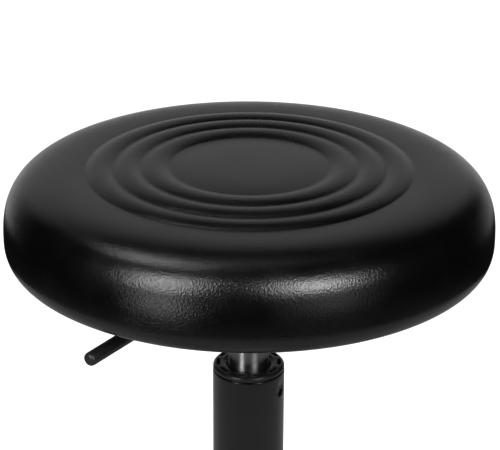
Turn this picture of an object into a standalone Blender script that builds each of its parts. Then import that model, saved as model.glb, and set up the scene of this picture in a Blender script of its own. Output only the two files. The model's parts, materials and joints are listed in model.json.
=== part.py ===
"""Adjustable swivel stool: round padded seat, gas lift column, five-star base on twin-wheel casters.

Frame: the origin is on the floor, on the swivel axis, and +Z points up. Lengths are in metres.
The gas lift stands a little above its lowest position, and all casters trail towards -Y.
"""

import math

import bmesh
import bpy
from mathutils import Matrix, Vector

# Running and touching clearance between two pieces.
GAP = 0.0003

# Seat cushion, drawn as an outline that turns about the swivel axis.
SEAT_RADIUS = 0.165
SEAT_UNDERSIDE_Z = 0.405
SEAT_EQUATOR_Z = SEAT_UNDERSIDE_Z + 0.016
SEAT_RIM_Z = SEAT_EQUATOR_Z + 0.0447
SEAT_TOP_Z = SEAT_EQUATOR_Z + 0.0480
SEAT_FLAT_RADIUS = 0.115
SEAT_FOOT_RADIUS = 0.150
SHOULDER_EXPONENT = 2.9
HEEL_EXPONENT = 2.2
DISC_FLAT_RADIUS = 0.040
CREASE_RADII = (0.0536, 0.0730, 0.0913, 0.1097)
CREASE_HEIGHTS = (0.0458, 0.0462, 0.0455, 0.0447)
RIDGE_RISE = 0.0017
COVER_TOP_THICKNESS = 0.0037
COVER_SIDE_THICKNESS = 0.0015
COVER_LIP_THICKNESS = 0.0012
COVER_LIP_RADIUS = 0.126

# Plywood board inside the cushion, and the fasteners that hold the plate to it.
BOARD_RADIUS = 0.146
BOARD_THICKNESS = 0.012
BOARD_BOTTOM_Z = SEAT_UNDERSIDE_Z + COVER_LIP_THICKNESS + GAP
BOARD_TOP_Z = BOARD_BOTTOM_Z + BOARD_THICKNESS
BOLT_RADIUS = 0.003
BOLT_SPACING = 0.120
BOLT_HEAD_HEIGHT = 0.004
BOLT_HEAD_CORNER_RADIUS = 0.00577
T_NUT_FLANGE_RADIUS = 0.0095
T_NUT_BARREL_RADIUS = 0.0042
T_NUT_FLANGE_THICKNESS = 0.0014
T_NUT_LENGTH = 0.0095

# Mounting plate, lever channel and taper socket under the seat.
PLATE_SIDE = 0.150
PLATE_THICKNESS = 0.0025
PLATE_CORNER = 0.014
PLATE_TOP_Z = BOARD_BOTTOM_Z - GAP
PLATE_BOTTOM_Z = PLATE_TOP_Z - PLATE_THICKNESS
CHANNEL_LENGTH = 0.084
CHANNEL_BACK_SHARE = 0.36
CHANNEL_WIDTH = 0.044
CHANNEL_WALL = 0.0025
CHANNEL_TOP_Z = PLATE_BOTTOM_Z - GAP
CHANNEL_BOTTOM_Z = 0.372
SOCKET_RADIUS = 0.018
SOCKET_BOTTOM_Z = 0.348
SOCKET_TOP_Z = 0.386

# Gas lift: outer tube, guide bushing, moving cylinder, and the rod that it slides on.
TUBE_RADIUS = 0.025
TUBE_FOOT_RADIUS = 0.024
TUBE_WALL = 0.0015
TUBE_BOTTOM_Z = 0.058
TUBE_TAPER_TOP_Z = 0.132
TUBE_FLOOR = 0.004
BUSHING_TOP_Z = 0.3204
BUSHING_FLANGE = 0.004
BUSHING_BOTTOM_Z = 0.240
TUBE_TOP_Z = BUSHING_TOP_Z - BUSHING_FLANGE - GAP
BUSHING_SLOT_COUNT = 10
BUSHING_SLOT_RADIUS = 0.0212
BUSHING_SLOT_DEPTH = 0.012
DIMPLE_Z = TUBE_TOP_Z - 0.012
DIMPLE_AZIMUTHS = (math.radians(-27), math.radians(153))
CYLINDER_RADIUS = 0.014
CYLINDER_BORE = 0.0115
CYLINDER_NECK_RADIUS = 0.0132
CYLINDER_BOTTOM_Z = 0.140
CYLINDER_TAPER_Z = 0.350
CYLINDER_HEAD_Z = 0.372
CYLINDER_TOP_Z = 0.388
RELEASE_PIN_RADIUS = 0.004
RELEASE_PIN_TOP_Z = 0.3934
RELEASE_PIN_BOTTOM_Z = 0.374
ROD_RADIUS = 0.005
ROD_FOOT_RADIUS = 0.004
ROD_BOTTOM_Z = 0.052
ROD_TOP_Z = 0.274
PISTON_BOTTOM_Z = 0.262
PISTON_TOP_Z = 0.272
CLIP_BOTTOM_Z = 0.0564
CLIP_THICKNESS = 0.0012
RACE_RADIUS = 0.0145
RACE_THICKNESS = 0.002
BALL_RADIUS = 0.002
BALL_COUNT = 8
BALL_RING_RADIUS = 0.0098
LOWER_RACE_Z = TUBE_BOTTOM_Z + TUBE_FLOOR + GAP
BALL_CENTRE_Z = LOWER_RACE_Z + RACE_THICKNESS + GAP + BALL_RADIUS
UPPER_RACE_Z = BALL_CENTRE_Z + BALL_RADIUS + GAP
ROD_SHOULDER_Z = UPPER_RACE_Z + RACE_THICKNESS + GAP
BUMPER_TOP_Z = 0.086

# Release lever, a straight bar that slopes down towards its grip.
LEVER_AZIMUTH = math.radians(-129.2)
LEVER_AXIS_Z = 0.397
LEVER_SLOPE = math.atan2(0.0135, 0.1575)
LEVER_PIVOT_REACH = 0.035
LEVER_BAR_RADIUS = 0.00325
LEVER_TIP_REACH = 0.1590
LEVER_INNER_REACH = -0.006
GRIP_RADIUS = 0.0046
GRIP_START_REACH = 0.080
GRIP_END_ROUND = 0.0030
BARREL_RADIUS = 0.005
BARREL_SINK = 0.001
PIVOT_PIN_RADIUS = 0.003

# Five-star base.
ARM_COUNT = 5
FIRST_ARM_AZIMUTH = math.radians(90)
STEM_CIRCLE_RADIUS = 0.230
HUB_BOTTOM_Z = 0.064
HUB_TOP_Z = 0.128
HUB_BOTTOM_RADIUS = 0.036
HUB_TOP_RADIUS = 0.031
STEM_BOSS_RADIUS = 0.017
STEM_BOSS_BOTTOM_Z = 0.067
STEM_BOSS_TOP_Z = 0.095
ARM_ROOT_REACH = 0.016
ARM_ROOT_HALF_WIDTH = 0.023
ARM_TIP_HALF_WIDTH = 0.0155
ARM_ROOT_TOP_Z = 0.124
ARM_TIP_TOP_Z = 0.093
ARM_BOTTOM_Z = 0.0695
ARM_EDGE = 0.006
ARM_WALL = 0.004
POCKET_REACHES = ((0.046, 0.122), (0.128, 0.204))

# Twin-wheel caster, with its stem axis at the local origin and its wheels trailing towards -Y.
WHEEL_RADIUS = 0.030
WHEEL_WIDTH = 0.017
WHEEL_INNER_X = 0.008
WHEEL_EDGE = 0.002
CASTER_TRAIL = 0.026
AXLE_RADIUS = 0.003
AXLE_HALF_LENGTH = 0.022
HOOD_INNER_RADIUS = 0.032
HOOD_OUTER_RADIUS = 0.0345
HOOD_HALF_WIDTH = 0.0252
HOOD_START = math.radians(-12)
HOOD_END = math.radians(128)
WEB_RADIUS = 0.020
WEB_HALF_WIDTH = 0.004
NECK_RADIUS = 0.0075
NECK_BOTTOM_Z = 0.026
COLLAR_RADIUS = 0.012
COLLAR_BOTTOM_Z = 0.0595
COLLAR_TOP_Z = STEM_BOSS_BOTTOM_Z - GAP
STEM_RADIUS = 0.0055
STEM_BOTTOM_Z = 0.040
STEM_TOP_Z = 0.0905
STEM_GROOVE_RADIUS = 0.0046
STEM_GROOVE_Z = (0.079, 0.085)
GRIP_RING_OUTER_RADIUS = 0.0060
STEM_BORE_RADIUS = 0.0063
STEM_BORE_TOP_Z = 0.092

# Facets round a full turn.
SEAT_SEGMENTS = 36
COLUMN_SEGMENTS = 24
WHEEL_SEGMENTS = 18
SMALL_SEGMENTS = 12


def clear_scene():
    """Empty the scene, so that the script can be run again."""
    for obj in list(bpy.data.objects):
        bpy.data.objects.remove(obj)


def make_material(name, colour, roughness, metallic):
    """A Principled material of one colour."""
    material = bpy.data.materials.new(name)
    material.use_nodes = True
    shader = material.node_tree.nodes["Principled BSDF"]
    shader.inputs["Base Color"].default_value = (*colour, 1.0)
    shader.inputs["Roughness"].default_value = roughness
    shader.inputs["Metallic"].default_value = metallic
    return material


def add_object(name, mesh, material, parent=None, location=(0, 0, 0)):
    """Link a new object that shows a mesh."""
    obj = bpy.data.objects.new(name, mesh)
    if material is not None and not mesh.materials:
        mesh.materials.append(material)
    obj.parent = parent
    obj.location = location
    bpy.context.scene.collection.objects.link(obj)
    return obj


def add_empty(name, location=(0, 0, 0), azimuth=0.0, parent=None):
    """An empty that carries a joint's or a sub-assembly's frame."""
    empty = bpy.data.objects.new(name, None)
    empty.location = location
    empty.rotation_euler = (0, 0, azimuth)
    empty.parent = parent
    bpy.context.scene.collection.objects.link(empty)
    return empty


def finish_mesh(bm, name, sharp_angle=math.radians(35)):
    """Turn a bmesh into a closed mesh that is shaded smooth up to sharp edges."""
    bmesh.ops.remove_doubles(bm, verts=bm.verts, dist=1e-6)
    bmesh.ops.recalc_face_normals(bm, faces=bm.faces)
    mesh = bpy.data.meshes.new(name)
    bm.to_mesh(mesh)
    bm.free()
    mesh.shade_smooth()
    mesh.set_sharp_from_angle(angle=sharp_angle)
    return mesh


def turned_mesh(name, profile, segments):
    """Turn a profile of (radius, z) points about Z. It is closed, unless both its ends are at radius 0."""
    bm = bmesh.new()
    points = [bm.verts.new((radius, 0, z)) for radius, z in profile]
    pairs = list(zip(points, points[1:]))
    if profile[0][0] > 0 or profile[-1][0] > 0:
        pairs.append((points[-1], points[0]))
    edges = [bm.edges.new(pair) for pair in pairs]
    bmesh.ops.spin(
        bm,
        geom=points + edges,
        cent=(0, 0, 0),
        axis=(0, 0, 1),
        dvec=(0, 0, 0),
        angle=math.tau,
        steps=segments,
        use_merge=True,
    )
    return finish_mesh(bm, name)


def ring_profile(inner_radius, outer_radius, bottom_z, top_z):
    """The profile of a plain ring."""
    inner = [(inner_radius, top_z), (inner_radius, bottom_z)]
    return [(outer_radius, bottom_z), (outer_radius, top_z), *inner]


def opened_at_axis(profile):
    """Start a cup-shaped profile after the first of its two neighbouring points on the axis."""
    crossing = next(i for i, point in enumerate(profile) if point[0] == 0)
    return profile[crossing + 1 :] + profile[: crossing + 1]


def rod_profile(radius, bottom_z, top_z):
    """The profile of a plain solid cylinder."""
    return [(0, bottom_z), (radius, bottom_z), (radius, top_z), (0, top_z)]


def lofted_mesh(name, rings):
    """Skin a closed solid over rings that hold the same number of points."""
    bm = bmesh.new()
    loops = [[bm.verts.new(point) for point in ring] for ring in rings]
    for lower, upper in zip(loops, loops[1:]):
        for i in range(len(lower)):
            j = (i + 1) % len(lower)
            bm.faces.new((lower[i], lower[j], upper[j], upper[i]))
    bm.faces.new(reversed(loops[0]))
    bm.faces.new(loops[-1])
    return finish_mesh(bm, name)


def box_mesh(name, low, high):
    """A box between two opposite corners."""
    corners = [(low[0], low[1]), (high[0], low[1]), (high[0], high[1]), (low[0], high[1])]
    return lofted_mesh(name, [[(x, y, z) for x, y in corners] for z in (low[2], high[2])])


def along_x(mesh, centre=(0, 0, 0)):
    """Lay a mesh that was turned about Z along X, and move it to a centre."""
    mesh.transform(Matrix.Translation(centre) @ Matrix.Rotation(math.radians(90), 4, "Y"))
    return mesh


def along_y(mesh, centre=(0, 0, 0)):
    """Lay a mesh that was turned about Z along Y, and move it to a centre."""
    mesh.transform(Matrix.Translation(centre) @ Matrix.Rotation(math.radians(-90), 4, "X"))
    return mesh


def combined_mesh(name, base, added=(), cut=()):
    """Union the added meshes to a base mesh, cut the others from the result, and return it."""
    helpers = [add_object(name + "_base", base, None)]
    for operation, meshes in (("UNION", added), ("DIFFERENCE", cut)):
        for mesh in meshes:
            helper = add_object(name + "_" + operation.lower(), mesh, None)
            modifier = helpers[0].modifiers.new(helper.name, "BOOLEAN")
            modifier.operation = operation
            modifier.solver = "EXACT"
            modifier.object = helper
            helpers.append(helper)
    bpy.context.view_layer.update()
    evaluated = helpers[0].evaluated_get(bpy.context.evaluated_depsgraph_get())
    mesh = bpy.data.meshes.new_from_object(evaluated)
    mesh.name = name
    mesh.materials.clear()
    for helper in helpers:
        bpy.data.objects.remove(helper)
    mesh.shade_smooth()
    mesh.set_sharp_from_angle(angle=math.radians(35))
    return mesh


def copies_round(mesh, count, radius, start=0.0):
    """Copies of a mesh set on a circle about Z, each turned to face outwards."""
    made = []
    for i in range(count):
        copy = mesh.copy()
        turn = Matrix.Rotation(start + math.tau * i / count, 4, "Z")
        copy.transform(turn @ Matrix.Translation((radius, 0, 0)))
        made.append(copy)
    return made


def quarter_outline(flat_radius, flat_z, edge_radius, edge_z, exponent, steps):
    """A superellipse quarter from a flat face round to the widest point of the cushion."""
    outline = []
    for i in range(steps + 1):
        angle = math.pi / 2 * i / steps
        reach = math.sin(angle) ** (2 / exponent)
        rise = max(0.0, math.cos(angle)) ** (2 / exponent)
        radius = flat_radius + (edge_radius - flat_radius) * reach
        outline.append((radius, edge_z + (flat_z - edge_z) * rise))
    return outline


def cushion_outline(inset, top_inset, foot_inset, shoulder_steps, heel_steps):
    """Outline from the flat top over the shoulder to the foot, set in from the outer surface."""
    edge = SEAT_RADIUS - inset
    shoulder = quarter_outline(
        SEAT_FLAT_RADIUS, SEAT_RIM_Z - top_inset, edge, SEAT_EQUATOR_Z, SHOULDER_EXPONENT, shoulder_steps
    )
    foot = SEAT_FOOT_RADIUS - inset
    foot_z = SEAT_UNDERSIDE_Z + foot_inset
    heel = quarter_outline(foot, foot_z, edge, SEAT_EQUATOR_Z, HEEL_EXPONENT, heel_steps)
    return shoulder + heel[-2::-1]


def seat_cover_profile():
    """Vinyl skin with padded rings between round creases, and its edge folded under the board."""
    outer = [(0, SEAT_TOP_Z), (DISC_FLAT_RADIUS, SEAT_TOP_Z)]
    creases = [(radius, SEAT_EQUATOR_Z + height) for radius, height in zip(CREASE_RADII, CREASE_HEIGHTS)]
    for (radius, z), (next_radius, next_z) in zip(creases, creases[1:]):
        outer.append((radius, z))
        outer.append(((radius + next_radius) / 2, (z + next_z) / 2 + RIDGE_RISE))
    outer.append(creases[-1])
    outer += cushion_outline(0, 0, 0, shoulder_steps=6, heel_steps=3)
    outer.append((COVER_LIP_RADIUS, SEAT_UNDERSIDE_Z))
    inner = cushion_outline(
        COVER_SIDE_THICKNESS, COVER_TOP_THICKNESS, COVER_LIP_THICKNESS, shoulder_steps=4, heel_steps=2
    )
    inner.append((COVER_LIP_RADIUS, SEAT_UNDERSIDE_Z + COVER_LIP_THICKNESS))
    return outer + inner[::-1] + [(0, SEAT_TOP_Z - COVER_TOP_THICKNESS)]


def seat_foam_profile():
    """Foam block under the cover, with a recess for the board."""
    side = COVER_SIDE_THICKNESS + GAP
    outline = cushion_outline(
        side, COVER_TOP_THICKNESS + GAP, COVER_LIP_THICKNESS + 2 * GAP, shoulder_steps=4, heel_steps=2
    )
    recess = BOARD_RADIUS + GAP
    foot_z = outline[-1][1]
    return [
        (0, SEAT_TOP_Z - COVER_TOP_THICKNESS - GAP),
        *outline,
        (recess, foot_z),
        (recess, BOARD_TOP_Z + GAP),
        (0, BOARD_TOP_Z + GAP),
    ]


def bolt_positions():
    """The four bolt places in the plate's own frame."""
    half = BOLT_SPACING / 2
    return [(half, half), (-half, half), (-half, -half), (half, -half)]


def t_nut_top_z():
    """The top face of the T-nuts, just under the board's top."""
    return BOARD_TOP_Z - GAP


def seat_board_mesh():
    """Plywood disc with a stepped hole for each T-nut."""
    flange_z = t_nut_top_z() - T_NUT_FLANGE_THICKNESS - GAP
    past = 0.002
    hole = [
        (0, BOARD_BOTTOM_Z - past),
        (T_NUT_BARREL_RADIUS + GAP, BOARD_BOTTOM_Z - past),
        (T_NUT_BARREL_RADIUS + GAP, flange_z),
        (T_NUT_FLANGE_RADIUS + GAP, flange_z),
        (T_NUT_FLANGE_RADIUS + GAP, BOARD_TOP_Z + past),
        (0, BOARD_TOP_Z + past),
    ]
    cutters = []
    for x, y in bolt_positions():
        cutter = turned_mesh("t_nut_hole", hole, SMALL_SEGMENTS)
        cutter.transform(Matrix.Translation((x, y, 0)))
        cutters.append(cutter)
    disc = turned_mesh("board_disc", rod_profile(BOARD_RADIUS, BOARD_BOTTOM_Z, BOARD_TOP_Z), SEAT_SEGMENTS)
    return combined_mesh("seat_board", disc, cut=cutters)


def t_nut_profile():
    """Flanged nut that is pressed into the board from above."""
    top = t_nut_top_z()
    bore = BOLT_RADIUS + GAP
    return [
        (bore, top - T_NUT_LENGTH),
        (T_NUT_BARREL_RADIUS, top - T_NUT_LENGTH),
        (T_NUT_BARREL_RADIUS, top - T_NUT_FLANGE_THICKNESS),
        (T_NUT_FLANGE_RADIUS, top - T_NUT_FLANGE_THICKNESS),
        (T_NUT_FLANGE_RADIUS, top),
        (bore, top),
    ]


def hexagon_ring(corner_radius, z):
    """A hexagon drawn with twelve points, so that it joins a twelve-sided circle."""
    flat_radius = corner_radius * math.cos(math.pi / 6)
    return [polar(corner_radius if i % 2 == 0 else flat_radius, math.tau * i / 12, z) for i in range(12)]


def circle_ring(radius, z, count=12):
    """A circle of points at one height."""
    return [polar(radius, math.tau * i / count, z) for i in range(count)]


def polar(radius, azimuth, z):
    """A point from cylindrical coordinates."""
    return (radius * math.cos(azimuth), radius * math.sin(azimuth), z)


def plate_bolt_mesh():
    """Hexagon bolt that comes up through the plate and the board."""
    head_top = PLATE_BOTTOM_Z - GAP
    shank_top = t_nut_top_z() - 0.001
    return lofted_mesh(
        "plate_bolt",
        [
            hexagon_ring(BOLT_HEAD_CORNER_RADIUS, head_top - BOLT_HEAD_HEIGHT),
            hexagon_ring(BOLT_HEAD_CORNER_RADIUS, head_top),
            circle_ring(BOLT_RADIUS, head_top),
            circle_ring(BOLT_RADIUS, shank_top),
        ],
    )


def rounded_square(side, corner, z, steps=3):
    """A square outline with round corners at one height."""
    centre = side / 2 - corner
    points = []
    for quarter in range(4):
        middle = math.radians(45 + 90 * quarter)
        cx = math.copysign(centre, math.cos(middle))
        cy = math.copysign(centre, math.sin(middle))
        for i in range(steps + 1):
            angle = math.radians(90 * quarter) + math.pi / 2 * i / steps
            points.append((cx + corner * math.cos(angle), cy + corner * math.sin(angle), z))
    return points


def mounting_plate_mesh():
    """Square steel plate with a bolt hole near each corner and a hole over the release pin."""
    plate = lofted_mesh(
        "plate_blank", [rounded_square(PLATE_SIDE, PLATE_CORNER, z) for z in (PLATE_BOTTOM_Z, PLATE_TOP_Z)]
    )
    past = 0.002
    cutters = []
    for x, y in bolt_positions():
        hole = rod_profile(BOLT_RADIUS + 2 * GAP, PLATE_BOTTOM_Z - past, PLATE_TOP_Z + past)
        cutter = turned_mesh("plate_hole", hole, SMALL_SEGMENTS)
        cutter.transform(Matrix.Translation((x, y, 0)))
        cutters.append(cutter)
    return combined_mesh("mounting_plate", plate, cut=cutters)


def lever_channel_mesh():
    """Pressed box under the plate, open at the top and where the lever comes out."""
    half_width = CHANNEL_WIDTH / 2
    back = -CHANNEL_LENGTH * CHANNEL_BACK_SHARE
    front = back + CHANNEL_LENGTH
    past = 0.004
    low = (back, -half_width, CHANNEL_BOTTOM_Z)
    outer = box_mesh("channel_box", low, (front, half_width, CHANNEL_TOP_Z))
    inside = box_mesh(
        "channel_inside",
        (back + CHANNEL_WALL, -half_width + CHANNEL_WALL, CHANNEL_BOTTOM_Z + CHANNEL_WALL),
        (front + past, half_width - CHANNEL_WALL, CHANNEL_TOP_Z + past),
    )
    socket_hole = turned_mesh(
        "channel_socket_hole",
        rod_profile(SOCKET_RADIUS + GAP, CHANNEL_BOTTOM_Z - past, CHANNEL_BOTTOM_Z + CHANNEL_WALL + past),
        COLUMN_SEGMENTS,
    )
    reach = half_width + past
    pin_hole = along_y(
        turned_mesh("channel_pin_hole", rod_profile(PIVOT_PIN_RADIUS + GAP, -reach, reach), SMALL_SEGMENTS),
        (LEVER_PIVOT_REACH, 0, lever_pivot_z()),
    )
    return combined_mesh("lever_channel", outer, cut=[inside, socket_hole, pin_hole])


def taper_socket_profile():
    """Welded socket whose bore follows the cylinder's taper."""
    return [
        (cylinder_radius(SOCKET_BOTTOM_Z) + GAP, SOCKET_BOTTOM_Z),
        (SOCKET_RADIUS, SOCKET_BOTTOM_Z),
        (SOCKET_RADIUS, SOCKET_TOP_Z),
        (cylinder_radius(SOCKET_TOP_Z) + GAP, SOCKET_TOP_Z),
        (cylinder_radius(CYLINDER_TAPER_Z) + GAP, CYLINDER_TAPER_Z),
    ]


def cylinder_radius(z):
    """Outer radius of the gas cylinder, which narrows above the taper's start."""
    share = max(0.0, (z - CYLINDER_TAPER_Z) / (CYLINDER_TOP_Z - CYLINDER_TAPER_Z))
    return CYLINDER_RADIUS + (CYLINDER_NECK_RADIUS - CYLINDER_RADIUS) * share


def tube_radius(z):
    """Outer radius of the column tube, which narrows below the taper's top."""
    share = min(1.0, max(0.0, (z - TUBE_BOTTOM_Z) / (TUBE_TAPER_TOP_Z - TUBE_BOTTOM_Z)))
    return TUBE_FOOT_RADIUS + (TUBE_RADIUS - TUBE_FOOT_RADIUS) * share


def column_tube_mesh():
    """Outer tube with a tapered foot, a floor with a hole for the rod, and two staking dimples."""
    hole = ROD_FOOT_RADIUS + 2 * GAP
    floor_z = TUBE_BOTTOM_Z + TUBE_FLOOR
    edge = 0.001
    profile = [
        (hole, TUBE_BOTTOM_Z),
        (TUBE_FOOT_RADIUS - edge, TUBE_BOTTOM_Z),
        (TUBE_FOOT_RADIUS, TUBE_BOTTOM_Z + edge),
        (TUBE_RADIUS, TUBE_TAPER_TOP_Z),
        (TUBE_RADIUS, TUBE_TOP_Z - edge / 2),
        (TUBE_RADIUS - edge / 2, TUBE_TOP_Z),
        (TUBE_RADIUS - TUBE_WALL, TUBE_TOP_Z),
        (TUBE_RADIUS - TUBE_WALL, TUBE_TAPER_TOP_Z),
        (TUBE_FOOT_RADIUS - TUBE_WALL, floor_z),
        (hole, floor_z),
    ]
    dimple_depth = 0.001
    dimple_width = 0.009
    dimples = []
    for azimuth in DIMPLE_AZIMUTHS:
        bm = bmesh.new()
        bmesh.ops.create_uvsphere(bm, u_segments=8, v_segments=5, radius=1.0)
        dimple = finish_mesh(bm, "dimple")
        dimple.transform(
            Matrix.Translation(polar(TUBE_RADIUS + 0.001, azimuth, DIMPLE_Z))
            @ Matrix.Rotation(azimuth, 4, "Z")
            @ Matrix.Diagonal((dimple_depth + 0.001, dimple_width / 2, dimple_width * 0.7, 1))
        )
        dimples.append(dimple)
    return combined_mesh("column_tube", turned_mesh("tube_blank", profile, COLUMN_SEGMENTS), cut=dimples)


def column_bushing_mesh():
    """Plastic guide with a flange on the tube's rim and a ring of slots in its top."""
    bore = CYLINDER_RADIUS + GAP
    body = TUBE_RADIUS - TUBE_WALL - GAP
    flange_z = BUSHING_TOP_Z - BUSHING_FLANGE
    chamfer = 0.0012
    blank = turned_mesh(
        "bushing_blank",
        [
            (bore, BUSHING_BOTTOM_Z),
            (body, BUSHING_BOTTOM_Z),
            (body, flange_z),
            (TUBE_RADIUS, flange_z),
            (TUBE_RADIUS, BUSHING_TOP_Z - chamfer),
            (TUBE_RADIUS - chamfer, BUSHING_TOP_Z),
            (bore + chamfer, BUSHING_TOP_Z),
            (bore, BUSHING_TOP_Z - chamfer),
        ],
        COLUMN_SEGMENTS,
    )
    slot_half_length = 0.0035
    slot_half_width = 0.0009
    slot = box_mesh(
        "bushing_slot",
        (-slot_half_width, -slot_half_length, BUSHING_TOP_Z - BUSHING_SLOT_DEPTH),
        (slot_half_width, slot_half_length, BUSHING_TOP_Z + 0.002),
    )
    slots = copies_round(slot, BUSHING_SLOT_COUNT, BUSHING_SLOT_RADIUS)
    return combined_mesh("column_bushing", blank, cut=slots)


def gas_cylinder_profile():
    """Moving steel cylinder, open below and closed above by a head with a hole for the release pin."""
    edge = 0.0008
    pin_hole = RELEASE_PIN_RADIUS + GAP
    return [
        (CYLINDER_BORE, CYLINDER_BOTTOM_Z),
        (CYLINDER_RADIUS, CYLINDER_BOTTOM_Z),
        (CYLINDER_RADIUS, CYLINDER_TAPER_Z),
        (cylinder_radius(CYLINDER_TOP_Z - edge), CYLINDER_TOP_Z - edge),
        (CYLINDER_NECK_RADIUS - edge, CYLINDER_TOP_Z),
        (pin_hole, CYLINDER_TOP_Z),
        (pin_hole, CYLINDER_HEAD_Z),
        (CYLINDER_BORE, CYLINDER_HEAD_Z),
    ]


def release_pin_profile():
    """Valve pin with a domed top that the lever presses."""
    dome = 0.0016
    return [
        (0, RELEASE_PIN_BOTTOM_Z),
        (RELEASE_PIN_RADIUS, RELEASE_PIN_BOTTOM_Z),
        (RELEASE_PIN_RADIUS, RELEASE_PIN_TOP_Z - dome),
        (RELEASE_PIN_RADIUS * 0.6, RELEASE_PIN_TOP_Z - dome / 4),
        (0, RELEASE_PIN_TOP_Z),
    ]


def piston_rod_profile():
    """Rod with a stepped foot for the bearing, a groove for the clip, and a spigot for the piston."""
    groove_low = CLIP_BOTTOM_Z - GAP
    groove_high = CLIP_BOTTOM_Z + CLIP_THICKNESS + GAP
    groove_radius = 0.0033
    spigot_radius = 0.0035
    edge = 0.0005
    return [
        (0, ROD_BOTTOM_Z),
        (ROD_FOOT_RADIUS - edge, ROD_BOTTOM_Z),
        (ROD_FOOT_RADIUS, ROD_BOTTOM_Z + edge),
        (ROD_FOOT_RADIUS, groove_low),
        (groove_radius, groove_low),
        (groove_radius, groove_high),
        (ROD_FOOT_RADIUS, groove_high),
        (ROD_FOOT_RADIUS, ROD_SHOULDER_Z),
        (ROD_RADIUS, ROD_SHOULDER_Z),
        (ROD_RADIUS, PISTON_BOTTOM_Z - GAP),
        (spigot_radius, PISTON_BOTTOM_Z - GAP),
        (spigot_radius, ROD_TOP_Z),
        (0, ROD_TOP_Z),
    ]


def retaining_clip_mesh():
    """C-shaped clip in the rod's groove, under the tube."""
    outer_radius = 0.008
    ring = turned_mesh(
        "clip_ring",
        ring_profile(0.0036, outer_radius, CLIP_BOTTOM_Z, CLIP_BOTTOM_Z + CLIP_THICKNESS),
        SMALL_SEGMENTS * 2,
    )
    mouth_half_width = 0.0024
    mouth = box_mesh(
        "clip_mouth",
        (0, -mouth_half_width, CLIP_BOTTOM_Z - 0.001),
        (outer_radius + 0.001, mouth_half_width, CLIP_BOTTOM_Z + CLIP_THICKNESS + 0.001),
    )
    return combined_mesh("retaining_clip", ring, cut=[mouth])


def bearing_balls_mesh():
    """Caged ring of balls between the two races."""
    cage_half_height = 0.0008
    cage = turned_mesh(
        "ball_cage",
        ring_profile(0.0068, 0.0130, BALL_CENTRE_Z - cage_half_height, BALL_CENTRE_Z + cage_half_height),
        SMALL_SEGMENTS * 2,
    )
    bm = bmesh.new()
    bmesh.ops.create_uvsphere(bm, u_segments=6, v_segments=4, radius=BALL_RADIUS)
    ball = finish_mesh(bm, "ball")
    ball.transform(Matrix.Translation((0, 0, BALL_CENTRE_Z)))
    return combined_mesh("bearing_balls", cage, added=copies_round(ball, BALL_COUNT, BALL_RING_RADIUS))


def lever_line_z(reach):
    """Height of the lever's centreline at a distance from the swivel axis."""
    return LEVER_AXIS_Z - math.tan(LEVER_SLOPE) * reach


def lever_pivot_z():
    """Height of the lever's hinge, in the barrel welded under the bar."""
    return lever_line_z(LEVER_PIVOT_REACH) - LEVER_BAR_RADIUS + BARREL_SINK - BARREL_RADIUS


def lever_matrix():
    """Carries a bar that was turned about Z onto the lever's sloping line, in the lever's own frame."""
    start = Vector((-LEVER_PIVOT_REACH, 0, lever_line_z(0) - lever_pivot_z()))
    return Matrix.Translation(start) @ Matrix.Rotation(math.radians(90) + LEVER_SLOPE, 4, "Y")


def lever_bar_mesh():
    """Round bar with the pivot barrel welded under it."""
    bar = turned_mesh(
        "lever_round_bar",
        rod_profile(LEVER_BAR_RADIUS, LEVER_INNER_REACH, LEVER_TIP_REACH - 0.004),
        SMALL_SEGMENTS,
    )
    bar.transform(lever_matrix())
    half_width = CHANNEL_WIDTH / 2 - CHANNEL_WALL - 2 * GAP
    barrel_profile = rod_profile(BARREL_RADIUS, -half_width, half_width)
    barrel = along_y(turned_mesh("lever_barrel", barrel_profile, SMALL_SEGMENTS))
    past = half_width + 0.003
    hole_profile = rod_profile(PIVOT_PIN_RADIUS + GAP, -past, past)
    hole = along_y(turned_mesh("lever_pin_hole", hole_profile, SMALL_SEGMENTS))
    return combined_mesh("lever_bar", bar, added=[barrel], cut=[hole])


def lever_grip_mesh():
    """Plastic sleeve pushed over the bar, with a rounded closed end."""
    bore = LEVER_BAR_RADIUS + GAP
    start_edge = 0.0008
    profile = [
        (bore, GRIP_START_REACH),
        (GRIP_RADIUS - start_edge, GRIP_START_REACH),
        (GRIP_RADIUS, GRIP_START_REACH + start_edge),
    ]
    for i in range(4):
        angle = math.pi / 2 * i / 3
        profile.append(
            (
                GRIP_RADIUS - GRIP_END_ROUND * (1 - math.cos(angle)),
                LEVER_TIP_REACH - GRIP_END_ROUND * (1 - math.sin(angle)),
            )
        )
    bore_end = LEVER_TIP_REACH - 0.004 + GAP
    profile += [(0, LEVER_TIP_REACH), (0, bore_end), (bore, bore_end)]
    mesh = turned_mesh("lever_grip", opened_at_axis(profile), SMALL_SEGMENTS)
    mesh.transform(lever_matrix())
    return mesh


def arm_top_z(share):
    """Height of an arm's top, from 0 at the hub to 1 at the tip, as a gentle arch."""
    drop = (1 - math.cos(math.pi * share)) / 2
    return ARM_ROOT_TOP_Z + (ARM_TIP_TOP_Z - ARM_ROOT_TOP_Z) * (0.45 * share + 0.55 * drop)


def arm_half_width(share):
    """Half the width of an arm at a share of its length."""
    return ARM_ROOT_HALF_WIDTH + (ARM_TIP_HALF_WIDTH - ARM_ROOT_HALF_WIDTH) * share


def arm_section(reach, inset=0.0, bottom_drop=0.0):
    """Cross-section of an arm at a distance from the swivel axis, with its upper corners cut off."""
    share = (reach - ARM_ROOT_REACH) / (STEM_CIRCLE_RADIUS - ARM_ROOT_REACH)
    half = arm_half_width(share) - inset
    top = arm_top_z(share) - inset
    edge = ARM_EDGE - inset / 2
    bottom = ARM_BOTTOM_Z - bottom_drop
    outline = [(half, bottom), (half, top - edge), (half - edge, top)]
    outline += [(-y, z) for y, z in reversed(outline)]
    return [(reach, y, z) for y, z in outline]


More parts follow.
